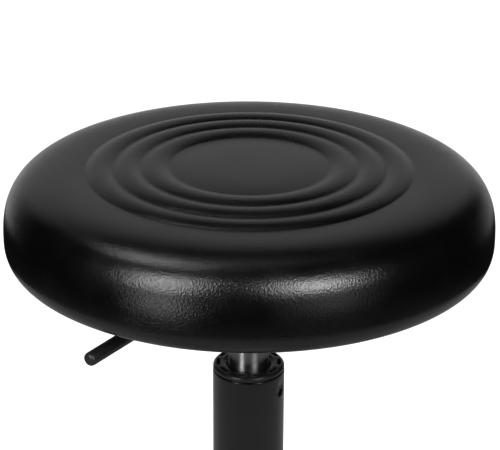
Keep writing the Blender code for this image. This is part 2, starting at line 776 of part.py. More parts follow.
def star_base_mesh():
    """Moulded hub with five ribbed arms, each ending in a boss for a caster stem."""
    stations = 6
    length = STEM_CIRCLE_RADIUS - ARM_ROOT_REACH
    reaches = [ARM_ROOT_REACH + length * i / stations for i in range(stations + 1)]
    arm = lofted_mesh("arm", [arm_section(reach) for reach in reaches])
    boss = turned_mesh(
        "stem_boss",
        [
            (0, STEM_BOSS_BOTTOM_Z),
            (STEM_BOSS_RADIUS, STEM_BOSS_BOTTOM_Z),
            (STEM_BOSS_RADIUS, STEM_BOSS_TOP_Z - 0.004),
            (STEM_BOSS_RADIUS - 0.004, STEM_BOSS_TOP_Z),
            (0, STEM_BOSS_TOP_Z),
        ],
        SMALL_SEGMENTS + 4,
    )
    bore_profile = rod_profile(STEM_BORE_RADIUS, STEM_BOSS_BOTTOM_Z - 0.005, STEM_BORE_TOP_Z)
    stem_bore = turned_mesh("stem_bore", bore_profile, SMALL_SEGMENTS)
    pockets = [
        lofted_mesh("arm_pocket", [arm_section(reach, ARM_WALL, bottom_drop=0.004) for reach in span])
        for span in POCKET_REACHES
    ]
    hub = turned_mesh(
        "hub",
        [
            (0, HUB_BOTTOM_Z),
            (HUB_BOTTOM_RADIUS, HUB_BOTTOM_Z),
            (HUB_BOTTOM_RADIUS - 0.001, HUB_TOP_Z - 0.022),
            (HUB_TOP_RADIUS, HUB_TOP_Z - 0.002),
            (HUB_TOP_RADIUS - 0.002, HUB_TOP_Z),
            (0, HUB_TOP_Z),
        ],
        COLUMN_SEGMENTS,
    )
    past = 0.003
    hub_bore_profile = [(0, HUB_BOTTOM_Z - past)]
    for z in (HUB_BOTTOM_Z - past, HUB_TOP_Z + past):
        hub_bore_profile.append((tube_radius(z) + GAP, z))
    hub_bore_profile.append((0, HUB_TOP_Z + past))
    hub_bore = turned_mesh("hub_bore", hub_bore_profile, COLUMN_SEGMENTS)

    added = copies_round(arm, ARM_COUNT, 0, FIRST_ARM_AZIMUTH)
    added += copies_round(boss, ARM_COUNT, STEM_CIRCLE_RADIUS, FIRST_ARM_AZIMUTH)
    cut = [hub_bore]
    cut += copies_round(stem_bore, ARM_COUNT, STEM_CIRCLE_RADIUS, FIRST_ARM_AZIMUTH)
    for pocket in pockets:
        cut += copies_round(pocket, ARM_COUNT, 0, FIRST_ARM_AZIMUTH)
    return combined_mesh("star_base", hub, added, cut)


def axle_centre(x=0.0):
    """A point on the caster's axle, in the caster's frame."""
    return (x, -CASTER_TRAIL, WHEEL_RADIUS)


def hood_mesh():
    """Arched cover over both wheels."""
    steps = 9
    rings = []
    for i in range(steps + 1):
        angle = HOOD_START + (HOOD_END - HOOD_START) * i / steps
        ring = []
        for x, radius in (
            (-HOOD_HALF_WIDTH, HOOD_INNER_RADIUS),
            (HOOD_HALF_WIDTH, HOOD_INNER_RADIUS),
            (HOOD_HALF_WIDTH, HOOD_OUTER_RADIUS),
            (-HOOD_HALF_WIDTH, HOOD_OUTER_RADIUS),
        ):
            y = -CASTER_TRAIL - radius * math.cos(angle)
            ring.append((x, y, WHEEL_RADIUS + radius * math.sin(angle)))
        rings.append(ring)
    return lofted_mesh("hood", rings)


def caster_housing_mesh():
    """Caster body: web between the wheels, arched hood, and the neck that holds the stem."""
    web = along_x(
        turned_mesh("caster_web", rod_profile(WEB_RADIUS, -WEB_HALF_WIDTH, WEB_HALF_WIDTH), WHEEL_SEGMENTS),
        axle_centre(),
    )
    post = box_mesh(
        "caster_post",
        (-WEB_HALF_WIDTH, -CASTER_TRAIL - 0.010, WHEEL_RADIUS),
        (WEB_HALF_WIDTH, -CASTER_TRAIL + 0.022, WHEEL_RADIUS + 0.025),
    )
    neck_profile = rod_profile(NECK_RADIUS, NECK_BOTTOM_Z, COLLAR_TOP_Z - 0.001)
    neck = turned_mesh("caster_neck", neck_profile, SMALL_SEGMENTS)
    collar = turned_mesh(
        "caster_collar", rod_profile(COLLAR_RADIUS, COLLAR_BOTTOM_Z, COLLAR_TOP_Z), SMALL_SEGMENTS + 4
    )
    past = 0.005
    reach = WEB_HALF_WIDTH + past
    axle_profile = rod_profile(AXLE_RADIUS + GAP, -reach, reach)
    axle_hole = along_x(turned_mesh("axle_hole", axle_profile, SMALL_SEGMENTS), axle_centre())
    stem_profile = rod_profile(STEM_RADIUS + GAP, STEM_BOTTOM_Z - GAP, COLLAR_TOP_Z + past)
    stem_hole = turned_mesh("stem_hole", stem_profile, SMALL_SEGMENTS)
    added = [post, neck, collar, hood_mesh()]
    return combined_mesh("caster_housing", web, added, cut=[axle_hole, stem_hole])


def wheel_profile():
    """Wheel turned about its axle, from its inner side at 0 to its closed outer face."""
    bore = AXLE_RADIUS + GAP
    bore_end = AXLE_HALF_LENGTH - WHEEL_INNER_X + 0.0005
    return [
        (bore, 0),
        (WHEEL_RADIUS - WHEEL_EDGE, 0),
        (WHEEL_RADIUS, WHEEL_EDGE),
        (WHEEL_RADIUS, WHEEL_WIDTH - WHEEL_EDGE),
        (WHEEL_RADIUS - WHEEL_EDGE, WHEEL_WIDTH),
        (0, WHEEL_WIDTH),
        (0, bore_end),
        (bore, bore_end),
    ]


def wheel_mesh(side):
    """The left (-1) or right (+1) wheel, with its axle centre at its origin."""
    mesh = turned_mesh("wheel", opened_at_axis(wheel_profile()), WHEEL_SEGMENTS)
    turn = Matrix.Rotation(math.radians(90) * side, 4, "Y")
    mesh.transform(turn @ Matrix.Translation((0, 0, WHEEL_INNER_X)))
    return mesh


def caster_stem_profile():
    """Pin that turns in the base's socket, with a groove for the grip ring."""
    low, high = STEM_GROOVE_Z
    edge = 0.001
    return [
        (0, STEM_BOTTOM_Z),
        (STEM_RADIUS, STEM_BOTTOM_Z),
        (STEM_RADIUS, low),
        (STEM_GROOVE_RADIUS, low),
        (STEM_GROOVE_RADIUS, high),
        (STEM_RADIUS, high),
        (STEM_RADIUS, STEM_TOP_Z - edge),
        (STEM_RADIUS - edge, STEM_TOP_Z),
        (0, STEM_TOP_Z),
    ]


def build_seat(materials):
    """Cushion, board and the bolts that hold it to the mechanism."""
    frame = add_empty("seat_frame", azimuth=LEVER_AZIMUTH)
    cover = turned_mesh("seat_cover", seat_cover_profile(), SEAT_SEGMENTS)
    add_object("seat_cover", cover, materials["vinyl"])
    foam = turned_mesh("seat_foam", seat_foam_profile(), SEAT_SEGMENTS)
    add_object("seat_foam", foam, materials["foam"])
    add_object("seat_board", seat_board_mesh(), materials["plywood"], frame)
    bolt = plate_bolt_mesh()
    nut = turned_mesh("t_nut", t_nut_profile(), SMALL_SEGMENTS)
    for i, (x, y) in enumerate(bolt_positions(), start=1):
        add_object(f"plate_bolt_{i}", bolt, materials["zinc"], frame, (x, y, 0))
        add_object(f"t_nut_{i}", nut, materials["zinc"], frame, (x, y, 0))


def build_mechanism(materials):
    """Plate, channel, socket and the release lever on its pin."""
    frame = add_empty("mechanism_frame", azimuth=LEVER_AZIMUTH)
    add_object("mounting_plate", mounting_plate_mesh(), materials["black_steel"], frame)
    add_object("lever_channel", lever_channel_mesh(), materials["black_steel"], frame)
    socket = turned_mesh("taper_socket", taper_socket_profile(), COLUMN_SEGMENTS)
    add_object("taper_socket", socket, materials["black_steel"], frame)
    pivot = add_empty("lever_pivot", (LEVER_PIVOT_REACH, 0, lever_pivot_z()), parent=frame)
    reach = CHANNEL_WIDTH / 2 + 0.002
    pin_profile = rod_profile(PIVOT_PIN_RADIUS, -reach, reach)
    pin = along_y(turned_mesh("lever_pivot_pin", pin_profile, SMALL_SEGMENTS))
    add_object("lever_pivot_pin", pin, materials["zinc"], pivot)
    add_object("lever_bar", lever_bar_mesh(), materials["black_steel"], pivot)
    add_object("lever_grip", lever_grip_mesh(), materials["black_plastic"], pivot)


def build_column(materials):
    """Gas lift from its outer tube to its release pin."""
    steel = materials["bright_steel"]
    add_object("column_tube", column_tube_mesh(), materials["black_steel"])
    add_object("column_bushing", column_bushing_mesh(), materials["black_plastic"])
    add_object("gas_cylinder", turned_mesh("gas_cylinder", gas_cylinder_profile(), COLUMN_SEGMENTS), steel)
    add_object("release_pin", turned_mesh("release_pin", release_pin_profile(), SMALL_SEGMENTS), steel)
    add_object("piston_rod", turned_mesh("piston_rod", piston_rod_profile(), SMALL_SEGMENTS + 4), steel)
    add_object("retaining_clip", retaining_clip_mesh(), materials["zinc"])
    add_object("bearing_balls", bearing_balls_mesh(), steel)

    inner = CYLINDER_BORE - GAP
    loose = ROD_RADIUS + GAP
    guide_z = CYLINDER_BOTTOM_Z + 0.0005
    guide_length = 0.0115
    lower_bore = ROD_FOOT_RADIUS + 2 * GAP
    upper_bore = ROD_FOOT_RADIUS + GAP
    rings = (
        ("rod_guide", loose, inner, guide_z, guide_length, "black_plastic"),
        ("piston_head", 0.0038, inner, PISTON_BOTTOM_Z, PISTON_TOP_Z - PISTON_BOTTOM_Z, "black_plastic"),
        ("end_bumper", loose, 0.011, ROD_SHOULDER_Z, BUMPER_TOP_Z - ROD_SHOULDER_Z, "rubber"),
        ("bearing_race_lower", lower_bore, RACE_RADIUS, LOWER_RACE_Z, RACE_THICKNESS, "bright_steel"),
        ("bearing_race_upper", upper_bore, RACE_RADIUS, UPPER_RACE_Z, RACE_THICKNESS, "bright_steel"),
    )
    for name, inner_radius, outer_radius, bottom_z, height, material in rings:
        profile = ring_profile(inner_radius, outer_radius, bottom_z, bottom_z + height)
        add_object(name, turned_mesh(name, profile, SMALL_SEGMENTS * 2), materials[material])


def build_base(materials):
    """Five-star base with its grip rings and casters."""
    add_object("star_base", star_base_mesh(), materials["black_nylon"])
    low, high = STEM_GROOVE_Z
    ring = turned_mesh(
        "grip_ring",
        ring_profile(STEM_GROOVE_RADIUS + GAP, GRIP_RING_OUTER_RADIUS, low + 2 * GAP, high - 2 * GAP),
        SMALL_SEGMENTS,
    )
    stem = turned_mesh("caster_stem", caster_stem_profile(), SMALL_SEGMENTS)
    housing = caster_housing_mesh()
    axle_profile = rod_profile(AXLE_RADIUS, -AXLE_HALF_LENGTH, AXLE_HALF_LENGTH)
    axle = along_x(turned_mesh("caster_axle", axle_profile, SMALL_SEGMENTS))
    wheels = {"left": wheel_mesh(-1), "right": wheel_mesh(1)}
    for i in range(ARM_COUNT):
        azimuth = FIRST_ARM_AZIMUTH + math.tau * i / ARM_COUNT
        swivel = add_empty(f"caster_{i + 1}_swivel", polar(STEM_CIRCLE_RADIUS, azimuth, 0))
        add_object(f"grip_ring_{i + 1}", ring, materials["zinc"], swivel)
        add_object(f"caster_stem_{i + 1}", stem, materials["zinc"], swivel)
        add_object(f"caster_housing_{i + 1}", housing, materials["black_nylon"], swivel)
        add_object(f"caster_axle_{i + 1}", axle, materials["zinc"], swivel, axle_centre())
        for side, wheel in wheels.items():
            add_object(f"wheel_{side}_{i + 1}", wheel, materials["black_nylon"], swivel, axle_centre())


def main():
    clear_scene()
    materials = {
        "vinyl": make_material("black_vinyl", (0.012, 0.012, 0.012), 0.38, 0.0),
        "foam": make_material("seat_foam", (0.75, 0.70, 0.55), 0.95, 0.0),
        "plywood": make_material("plywood", (0.55, 0.38, 0.22), 0.8, 0.0),
        "black_steel": make_material("black_painted_steel", (0.015, 0.015, 0.015), 0.35, 0.4),
        "bright_steel": make_material("bright_steel", (0.62, 0.62, 0.63), 0.22, 1.0),
        "zinc": make_material("zinc_plated_steel", (0.60, 0.60, 0.62), 0.4, 1.0),
        "black_plastic": make_material("black_plastic", (0.02, 0.02, 0.02), 0.45, 0.0),
        "black_nylon": make_material("black_nylon", (0.018, 0.018, 0.018), 0.5, 0.0),
        "rubber": make_material("rubber", (0.02, 0.02, 0.02), 0.85, 0.0),
    }
    build_seat(materials)
    build_mechanism(materials)
    build_column(materials)
    build_base(materials)


main()
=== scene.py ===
"""Looks of an adjustable swivel stool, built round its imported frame.

Lengths are in metres, in the frame's own coordinates: the origin is on the floor under the seat,
+Z points up, and the camera looks along +Y. The seat, lever, column, base and casters each have
their own section. Every piece rides on the body that carries it.
"""

import json
import math

import bmesh
import bpy
import numpy as np
from mathutils import Matrix, Vector


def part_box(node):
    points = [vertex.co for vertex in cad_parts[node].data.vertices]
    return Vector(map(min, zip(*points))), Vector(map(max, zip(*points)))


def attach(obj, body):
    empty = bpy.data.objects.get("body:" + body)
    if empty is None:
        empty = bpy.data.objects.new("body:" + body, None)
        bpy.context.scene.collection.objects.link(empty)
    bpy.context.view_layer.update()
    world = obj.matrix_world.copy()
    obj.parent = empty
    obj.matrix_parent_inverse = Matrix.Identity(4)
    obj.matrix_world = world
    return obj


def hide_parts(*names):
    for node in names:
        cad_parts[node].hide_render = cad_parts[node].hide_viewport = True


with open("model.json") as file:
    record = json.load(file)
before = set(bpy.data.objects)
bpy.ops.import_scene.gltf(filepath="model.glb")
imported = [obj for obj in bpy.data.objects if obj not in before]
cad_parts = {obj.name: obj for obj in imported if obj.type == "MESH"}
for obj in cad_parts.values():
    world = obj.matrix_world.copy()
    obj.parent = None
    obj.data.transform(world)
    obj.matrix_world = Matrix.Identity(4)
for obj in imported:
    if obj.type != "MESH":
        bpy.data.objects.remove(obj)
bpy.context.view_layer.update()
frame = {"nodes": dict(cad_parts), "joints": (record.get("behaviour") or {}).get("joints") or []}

SCENE = bpy.context.scene

# Camera, aimed at the middle of the seat's side.
FOCAL_LENGTH = 0.1315
CAMERA_DISTANCE = 1.2354
CAMERA_ELEVATION = math.radians(23.01)
CAMERA_ROLL = math.radians(0.3)
CAMERA_SHIFT = (0.0012, 0.0076)

# Seat outline.
SEAT_LOW, SEAT_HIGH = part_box("seat_cover")
SEAT_RADIUS = SEAT_HIGH.x
SEAT_TOP = SEAT_HIGH.z
SEAT_BOTTOM = SEAT_LOW.z
SEAT_EQUATOR = SEAT_BOTTOM + 0.016
SEAT_FOOT_RADIUS = 0.150
SEAT_LIP_RADIUS = 0.127
SEAT_LIP_THICKNESS = 0.0012
SHOULDER_HEIGHT = 0.0449
SHOULDER_RADIUS = 0.115
SHOULDER_EXPONENT = 2.9
HEEL_EXPONENT = 2.2
CREASES = (0.0536, 0.0730, 0.0913, 0.1097)
CREASE_HEIGHTS = (0.0458, 0.0462, 0.0455, 0.0445)
RIDGE_HEIGHT = 0.0023
DISC_CROWN = 0.0022
RIM_DIP_REACH = 0.004
SEAT_TURNS = 320
CREASE_SOFTNESS = 0.0003
CREASE_ZONE = 0.004
CREASE_STOPS = (-0.8, -0.55, -0.35, -0.2, -0.09, 0, 0.09, 0.2, 0.35, 0.55, 0.8)
RIM_START = 0.0125
LINING_DEPTH = 0.0075

# Gathers at the folded edge, and slack in the side.
GATHER_LENGTH = 0.030
GATHER_HEIGHT = 0.0011
SLACK_HEIGHT = 0.0003

# Coarse cloth simulation of the cover. The cap is the most that it moves any point.
CLOTH_FRAMES = 16
CLOTH_CAP = 0.0004
CLOTH_TURNS = 120
CLOTH_PRESSURE = 1.5
CLOTH_LIP = 0.020

# Staples round the folded edge.
STAPLE_COUNT = 36
STAPLE_WIDTH = 0.0100
STAPLE_WIRE = 0.0006
STAPLE_RISE = 0.0009

# Lever line, from the frame's lever joint.
LEVER_SLOPE = math.atan2(0.0135, 0.1575)
LEVER_TIP = 0.1590
LEVER_GRIP_RADIUS = 0.0046
LEVER_BAR_RADIUS = 0.00325
LEVER_AXIS_Z = 0.397
LEVER_BARREL_RADIUS = 0.005
LEVER_BARREL_HALF = 0.0188
LEVER_GRIP_START = 0.079
LEVER_BAR_END = LEVER_TIP - 0.0045
LEVER_BORE = LEVER_BAR_RADIUS + 0.0002
HINGE_BORE = 0.0033
HINGE_PIN_RADIUS = 0.003
HINGE_PIN_HALF = 0.024

# Hexagon bolts under the plate.
BOLT_HEX_RADIUS = 0.00577
BOLT_WASHER_RADIUS = 0.0066
BOLT_WASHER_HEIGHT = 0.0012
BOLT_SHANK_RADIUS = 0.003

# Gas lift.
SOCKET_BORE = 0.0143
SOCKET_FLARE_Z = 0.350
BUSHING_BORE = 0.0143
SLOT_COUNT = 10
SLOT_CIRCLE = 0.0212
SLOT_HALF_WIDTH = 0.0013
SLOT_HALF_ANGLE = math.radians(9.5)
TUBE_FOOT_RADIUS = 0.024
TUBE_WALL = 0.0015
TUBE_TAPER_END = 0.132
TUBE_FLOOR = 0.004
ROD_HOLE = 0.0046
DENT_AZIMUTHS = (math.radians(-27), math.radians(153))
DENT_DROP = 0.0125
DENT_HALF_WIDTH = 0.0042
DENT_ABOVE = 0.0085
DENT_BELOW = 0.0038
DENT_DEPTH = 0.0021
CYLINDER_BORE = 0.0115
CYLINDER_NECK_Z = 0.350
CYLINDER_CEILING = 0.372
PIN_HOLE = 0.0043

# Base arms, from the hub to the tip.
ARM_START = 0.029
ARM_LENGTH = 0.192
ARM_TIP_GAP = 0.0085
ARM_HALF_WIDTHS = (0.0225, 0.0150)
ARM_TOPS = (0.1235, 0.0925)
ARM_CROWN = 0.014
ARM_BOTTOM = 0.0692
ARM_WALL = 0.0036
RIB_REACHES = (0.060, 0.092, 0.124, 0.156, 0.186)
RIB_HALF = 0.0013
RIB_BOTTOM = 0.0735
RIB_INSET = 0.002
BOSS_BORE = 0.0062
BOSS_RADIUS = 0.0168
BOSS_LOW = 0.0672

# Casters.
WHEEL_RADIUS = 0.030
WHEEL_WIDTH = 0.017
WHEEL_INNER = 0.008
WHEEL_BORE = 0.0032
AXLE_RADIUS = 0.003
AXLE_HALF = 0.022
CASTER_TRAIL = 0.026
HOOD_HALF = 0.0249
HOOD_INNER = 0.0322
HOOD_OUTER = 0.0344
HOOD_START = math.radians(-14)
HOOD_SWEEP = math.radians(142)
STEM_RADIUS = 0.0055

# Studio.
BOUNCE_RADIUS = 0.80
BOUNCE_RADIANCE = 0.36
FLOOR_HALF = 9.0
FLOOR_GAP = 0.0002
SURROUND_STRENGTH = 1.15
SURROUND_IN_GLOSS = 0.008

EVEN = (1, 1, 1)


# ------------ meshes


def add_piece(name, mesh, finish, body, stands_for=(), matrix=None):
    """Show a mesh with a finish, riding on a body, in place of CAD nodes."""
    piece = bpy.data.objects.new(name, mesh)
    SCENE.collection.objects.link(piece)
    if not mesh.materials:
        mesh.materials.append(FINISHES[finish])
    if matrix is not None:
        piece.matrix_world = matrix
    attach(piece, body)
    if stands_for:
        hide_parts(*stands_for)
    return piece


def to_mesh(bm, name, sharp=math.radians(38)):
    """Turn a bmesh into a mesh that is smooth up to its sharp edges."""
    bmesh.ops.recalc_face_normals(bm, faces=bm.faces)
    mesh = bpy.data.meshes.new(name)
    bm.to_mesh(mesh)
    bm.free()
    mesh.shade_smooth()
    mesh.set_sharp_from_angle(angle=sharp)
    return mesh


def rounded(corners, steps=5):
    """A closed outline whose corners are rounded. Each corner is (radius, z) or (radius, z, fillet)."""
    points = []
    for i, corner in enumerate(corners):
        here = np.array(corner[:2], float)
        if len(corner) == 2:
            points.append(here)
            continue
        ends = []
        for other in (corners[i - 1], corners[(i + 1) % len(corners)]):
            way = np.array(other[:2], float) - here
            ends.append(here + way * min(corner[2] / np.linalg.norm(way), 0.5))
        for t in np.linspace(0, 1, steps):
            points.append((1 - t) ** 2 * ends[0] + 2 * t * (1 - t) * here + t**2 * ends[1])
    return [(max(0.0, float(r)), float(z)) for r, z in points]


def ring(radius, z, count):
    """Points round the Z axis."""
    turns = [math.tau * i / count for i in range(count)]
    return [(radius * math.cos(a), radius * math.sin(a), z) for a in turns]


def turned(name, outline, segments=64, sharp=math.radians(38)):
    """Turn a closed outline of (radius, z) points about Z. Points on the axis become poles."""
    bm = bmesh.new()
    rings = []
    for radius, z in outline:
        points = ring(radius, z, segments) if radius > 1e-6 else [(0, 0, z)]
        rings.append([bm.verts.new(point) for point in points])
    for lower, upper in zip(rings, rings[1:] + rings[:1]):
        if len(lower) == len(upper) == 1:
            continue
        for i in range(segments):
            j = (i + 1) % segments
            corners = [lower[i % len(lower)], lower[j % len(lower)]]
            corners += [upper[j % len(upper)], upper[i % len(upper)]]
            bm.faces.new(list(dict.fromkeys(corners)))
    return to_mesh(bm, name, sharp)


def lathe(name, corners, segments=64, steps=5):
    """Turn an outline whose corners are still to be rounded."""
    return turned(name, rounded(corners, steps), segments)


def plain_pin(name, radius, half, fillet):
    """A round pin about Z with eased ends."""
    return lathe(name, [(0, -half), (radius, -half, fillet), (radius, half, fillet), (0, half)], 32)


def skinned(name, rings, sharp=math.radians(38)):
    """A closed solid over rings that hold the same number of points."""
    bm = bmesh.new()
    loops = [[bm.verts.new(point) for point in points] for points in rings]
    for lower, upper in zip(loops, loops[1:]):
        for i in range(len(lower)):
            j = (i + 1) % len(lower)
            bm.faces.new((lower[i], lower[j], upper[j], upper[i]))
    bm.faces.new(loops[0][::-1])
    bm.faces.new(loops[-1])
    return to_mesh(bm, name, sharp)


def block(name, low, high):
    """A box between two opposite corners."""
    corners = [(low[0], low[1]), (high[0], low[1]), (high[0], high[1]), (low[0], high[1])]
    return skinned(name, [[(x, y, z) for x, y in corners] for z in (low[2], high[2])])


def moved(mesh, matrix):
    """A copy of a mesh, moved by a matrix."""
    copy = mesh.copy()
    copy.transform(matrix)
    return copy


def lying(axis):
    """The rotation that lays a piece turned about Z along another axis."""
    return Vector((0, 0, 1)).rotation_difference(Vector(axis)).to_matrix().to_4x4()


def joined(name, meshes):
    """Several meshes in one."""
    bm = bmesh.new()
    for mesh in meshes:
        bm.from_mesh(mesh)
    return to_mesh(bm, name)


def with_modifiers(name, mesh, modifiers, sharp=math.radians(38)):
    """The mesh after modifiers, each given as (type, {setting: value})."""
    helper = bpy.data.objects.new(name, mesh)
    SCENE.collection.objects.link(helper)
    for kind, settings in modifiers:
        modifier = helper.modifiers.new(kind, kind)
        for key, value in settings.items():
            setattr(modifier, key, value)
    evaluated = helper.evaluated_get(bpy.context.evaluated_depsgraph_get())
    result = bpy.data.meshes.new_from_object(evaluated)
    result.name = name
    bpy.data.objects.remove(helper)
    result.shade_smooth()
    if sharp is not None:
        result.set_sharp_from_angle(angle=sharp)
    return result


def bevelled(name, mesh, width, segments=3):
    """The mesh with its sharp edges rounded."""
    settings = {
        "width": width,
        "segments": segments,
        "limit_method": "ANGLE",
        "angle_limit": math.radians(35),
    }
    return with_modifiers(name, mesh, [("BEVEL", settings)])


def cut_from(name, mesh, cutters):
    """The mesh with the cutters taken away."""
    cutter = bpy.data.objects.new(name + "_cutter", joined(name + "_cutter", cutters))
    SCENE.collection.objects.link(cutter)
    settings = {"object": cutter, "operation": "DIFFERENCE", "solver": "EXACT"}
    result = with_modifiers(name, mesh, [("BOOLEAN", settings)])
    bpy.data.objects.remove(cutter)
    return result


def moulded(name, meshes, voxel, smoothing):
    """Closed meshes fused into one skin with soft inner corners, like a moulding."""
    modifiers = [
        ("REMESH", {"mode": "VOXEL", "voxel_size": voxel, "use_smooth_shade": True}),
        ("SMOOTH", {"factor": 0.5, "iterations": smoothing}),
    ]
    return with_modifiers(name, joined(name, meshes), modifiers, sharp=None)


def round_copies(mesh, count, radius=0.0, start=0.0):
    """Copies of a mesh on a circle about Z, each turned to face outwards."""
    turns = [Matrix.Rotation(start + math.tau * i / count, 4, "Z") for i in range(count)]
    return [moved(mesh, turn @ Matrix.Translation((radius, 0, 0))) for turn in turns]


def cad_mesh(node):
    """A copy of a CAD node's mesh with its split corners joined."""
    bm = bmesh.new()
    bm.from_mesh(frame["nodes"][node].data)
    bmesh.ops.remove_doubles(bm, verts=bm.verts, dist=1e-6)
    bmesh.ops.dissolve_limit(bm, angle_limit=math.radians(1), verts=bm.verts, edges=bm.edges)
    return to_mesh(bm, node)


# ------------ finishes


def mapped(tree, stretch):
    """Object coordinates in metres, stretched along each axis."""
    place = tree.nodes.new("ShaderNodeTexCoord")
    mapping = tree.nodes.new("ShaderNodeMapping")
    mapping.inputs["Scale"].default_value = stretch
    tree.links.new(place.outputs["Object"], mapping.inputs["Vector"])
    return mapping.outputs["Vector"]


def noise(tree, size, stretch=(1, 1, 1), detail=4.0, roughness=0.55):
    """Noise whose features are about one size, in metres."""
    node = tree.nodes.new("ShaderNodeTexNoise")
    node.inputs["Scale"].default_value = 1 / size
    node.inputs["Detail"].default_value = detail
    node.inputs["Roughness"].default_value = roughness
    tree.links.new(mapped(tree, stretch), node.inputs["Vector"])
    return node.outputs["Fac"]


def cells(tree, size, stretch=(1, 1, 1)):
    """Rounded cells, as in leather grain."""
    node = tree.nodes.new("ShaderNodeTexVoronoi")
    node.feature = "SMOOTH_F1"
    node.inputs["Scale"].default_value = 1 / size
    node.inputs["Smoothness"].default_value = 0.35
    tree.links.new(mapped(tree, stretch), node.inputs["Vector"])
    return node.outputs["Distance"]


def ranged(tree, value, low, high, lowest=0.3, highest=0.7):
    """A texture's middle range carried onto a range of values."""
    node = tree.nodes.new("ShaderNodeMapRange")
    node.inputs["From Min"].default_value = lowest
    node.inputs["From Max"].default_value = highest
    node.inputs["To Min"].default_value = low
    node.inputs["To Max"].default_value = high
    tree.links.new(value, node.inputs["Value"])
    return node.outputs["Result"]


def mixed(tree, factor, first, second):
    """Two colours mixed by a texture."""
    node = tree.nodes.new("ShaderNodeMix")
    node.data_type = "RGBA"
    node.inputs["A"].default_value = (*first, 1)
    node.inputs["B"].default_value = (*second, 1)
    tree.links.new(factor, node.inputs["Factor"])
    return node.outputs["Result"]


def grey(value):
    """An even grey."""
    return (value, value, value)


def finish(name, dark, light, roughness, blotch, grain, metallic=0.0, **uniform):
    """A Principled material.

    dark and light are the colours that a noise of blotch size mixes; roughness is its range over
    the same noise; grain lists (texture, size, stretch, depth) for the bump, in metres.
    """
    material = bpy.data.materials.new(name)
    material.use_nodes = True
    tree = material.node_tree
    shader = tree.nodes["Principled BSDF"]
    shader.inputs["Metallic"].default_value = metallic
    for key, value in uniform.items():
        shader.inputs[key.replace("_", " ").title().replace("Ior", "IOR")].default_value = value
    patches = noise(tree, blotch)
    tree.links.new(mixed(tree, ranged(tree, patches, 0, 1), dark, light), shader.inputs["Base Color"])
    tree.links.new(ranged(tree, patches, *roughness), shader.inputs["Roughness"])
    normal = None
    for texture, size, stretch, depth in grain:
        bump = tree.nodes.new("ShaderNodeBump")
        bump.inputs["Strength"].default_value = 1.0
        bump.inputs["Distance"].default_value = depth
        tree.links.new(texture(tree, size, stretch), bump.inputs["Height"])
        if normal is not None:
            tree.links.new(normal, bump.inputs["Normal"])
        normal = bump.outputs["Normal"]
    if normal is not None:
        tree.links.new(normal, shader.inputs["Normal"])
    return material


def vinyl_finish():
    """Black vinyl with a fine grain, drawn out downwards on the side of the seat."""
    grain = [
        (cells, 0.0009, (1, 1, 0.7), 0.00011),
        (noise, 0.0014, (1, 1, 0.6), 0.00009),
    ]
    return finish("vinyl", grey(0.0004), grey(0.0008), (0.22, 0.28), 0.03, grain)


def painted_steel_finish():
    """Black gloss paint with a slight orange peel."""
    grain = [(noise, 0.0016, EVEN, 0.000012)]
    dark, light = grey(0.0016), grey(0.0028)
    return finish("painted_steel", dark, light, (0.20, 0.27), 0.02, grain)


def ground_steel_finish():
    """Bright steel with fine turning marks round it."""
    grain = [(noise, 0.0005, (0.04, 0.04, 1), 0.00001)]
    material = finish(
        "ground_steel",
        (0.42, 0.42, 0.43),
        (0.56, 0.56, 0.57),
        (0.34, 0.44),
        0.004,
        grain,
        metallic=1.0,
        anisotropic=0.9,
        anisotropic_rotation=0.25,
    )
    tree = material.node_tree
    tangent = tree.nodes.new("ShaderNodeTangent")
    tangent.direction_type = "RADIAL"
    tangent.axis = "Z"
    tree.links.new(tangent.outputs["Tangent"], tree.nodes["Principled BSDF"].inputs["Tangent"])
    return material


def zinc_finish():
    """Zinc plate, slightly mottled."""
    grain = [(noise, 0.0008, EVEN, 0.00001)]
    return finish("zinc", (0.42, 0.42, 0.43), (0.60, 0.60, 0.59), (0.30, 0.48), 0.004, grain, metallic=1.0)


def nylon_finish():
    """Black moulded nylon with a spark-eroded texture."""
    grain = [(noise, 0.0007, EVEN, 0.00005), (noise, 0.012, EVEN, 0.00006)]
    return finish("nylon", grey(0.006), grey(0.010), (0.30, 0.42), 0.015, grain)


def bushing_finish():
    """Smooth black plastic."""
    grain = [(noise, 0.0012, EVEN, 0.00002)]
    return finish("bushing_plastic", grey(0.005), grey(0.008), (0.26, 0.36), 0.008, grain)


def grip_finish():
    """Satin black sleeve of the lever."""
    grain = [(noise, 0.0009, EVEN, 0.00002)]
    return finish("grip_plastic", grey(0.004), grey(0.007), (0.34, 0.44), 0.01, grain)


def tread_finish():
    """Dark grey tread of the casters."""
    grain = [(noise, 0.0010, EVEN, 0.00006)]
    return finish("tread", (0.030, 0.030, 0.031), (0.045, 0.045, 0.046), (0.50, 0.66), 0.01, grain)


def rubber_finish():
    """Black rubber."""
    grain = [(noise, 0.001, EVEN, 0.00004)]
    return finish("rubber", grey(0.018), grey(0.03), (0.7, 0.85), 0.01, grain)


def foam_finish():
    """Cream polyurethane foam with open cells."""
    grain = [(cells, 0.0012, EVEN, 0.0004)]
    return finish("foam", (0.66, 0.60, 0.42), (0.78, 0.73, 0.56), (0.9, 1.0), 0.01, grain)


def plywood_finish():
    """Dark-stained plywood with a long grain."""
    grain = [(noise, 0.0020, (0.06, 1, 1), 0.00008)]
    material = finish("plywood", (0.030, 0.024, 0.019), (0.055, 0.044, 0.035), (0.6, 0.8), 0.03, grain)
    tree = material.node_tree
    streaks = ranged(tree, noise(tree, 0.006, (0.05, 1, 1), detail=6.0), 0, 1)
    colour = mixed(tree, streaks, (0.022, 0.018, 0.015), (0.060, 0.048, 0.038))
    tree.links.new(colour, tree.nodes["Principled BSDF"].inputs["Base Color"])
    return material


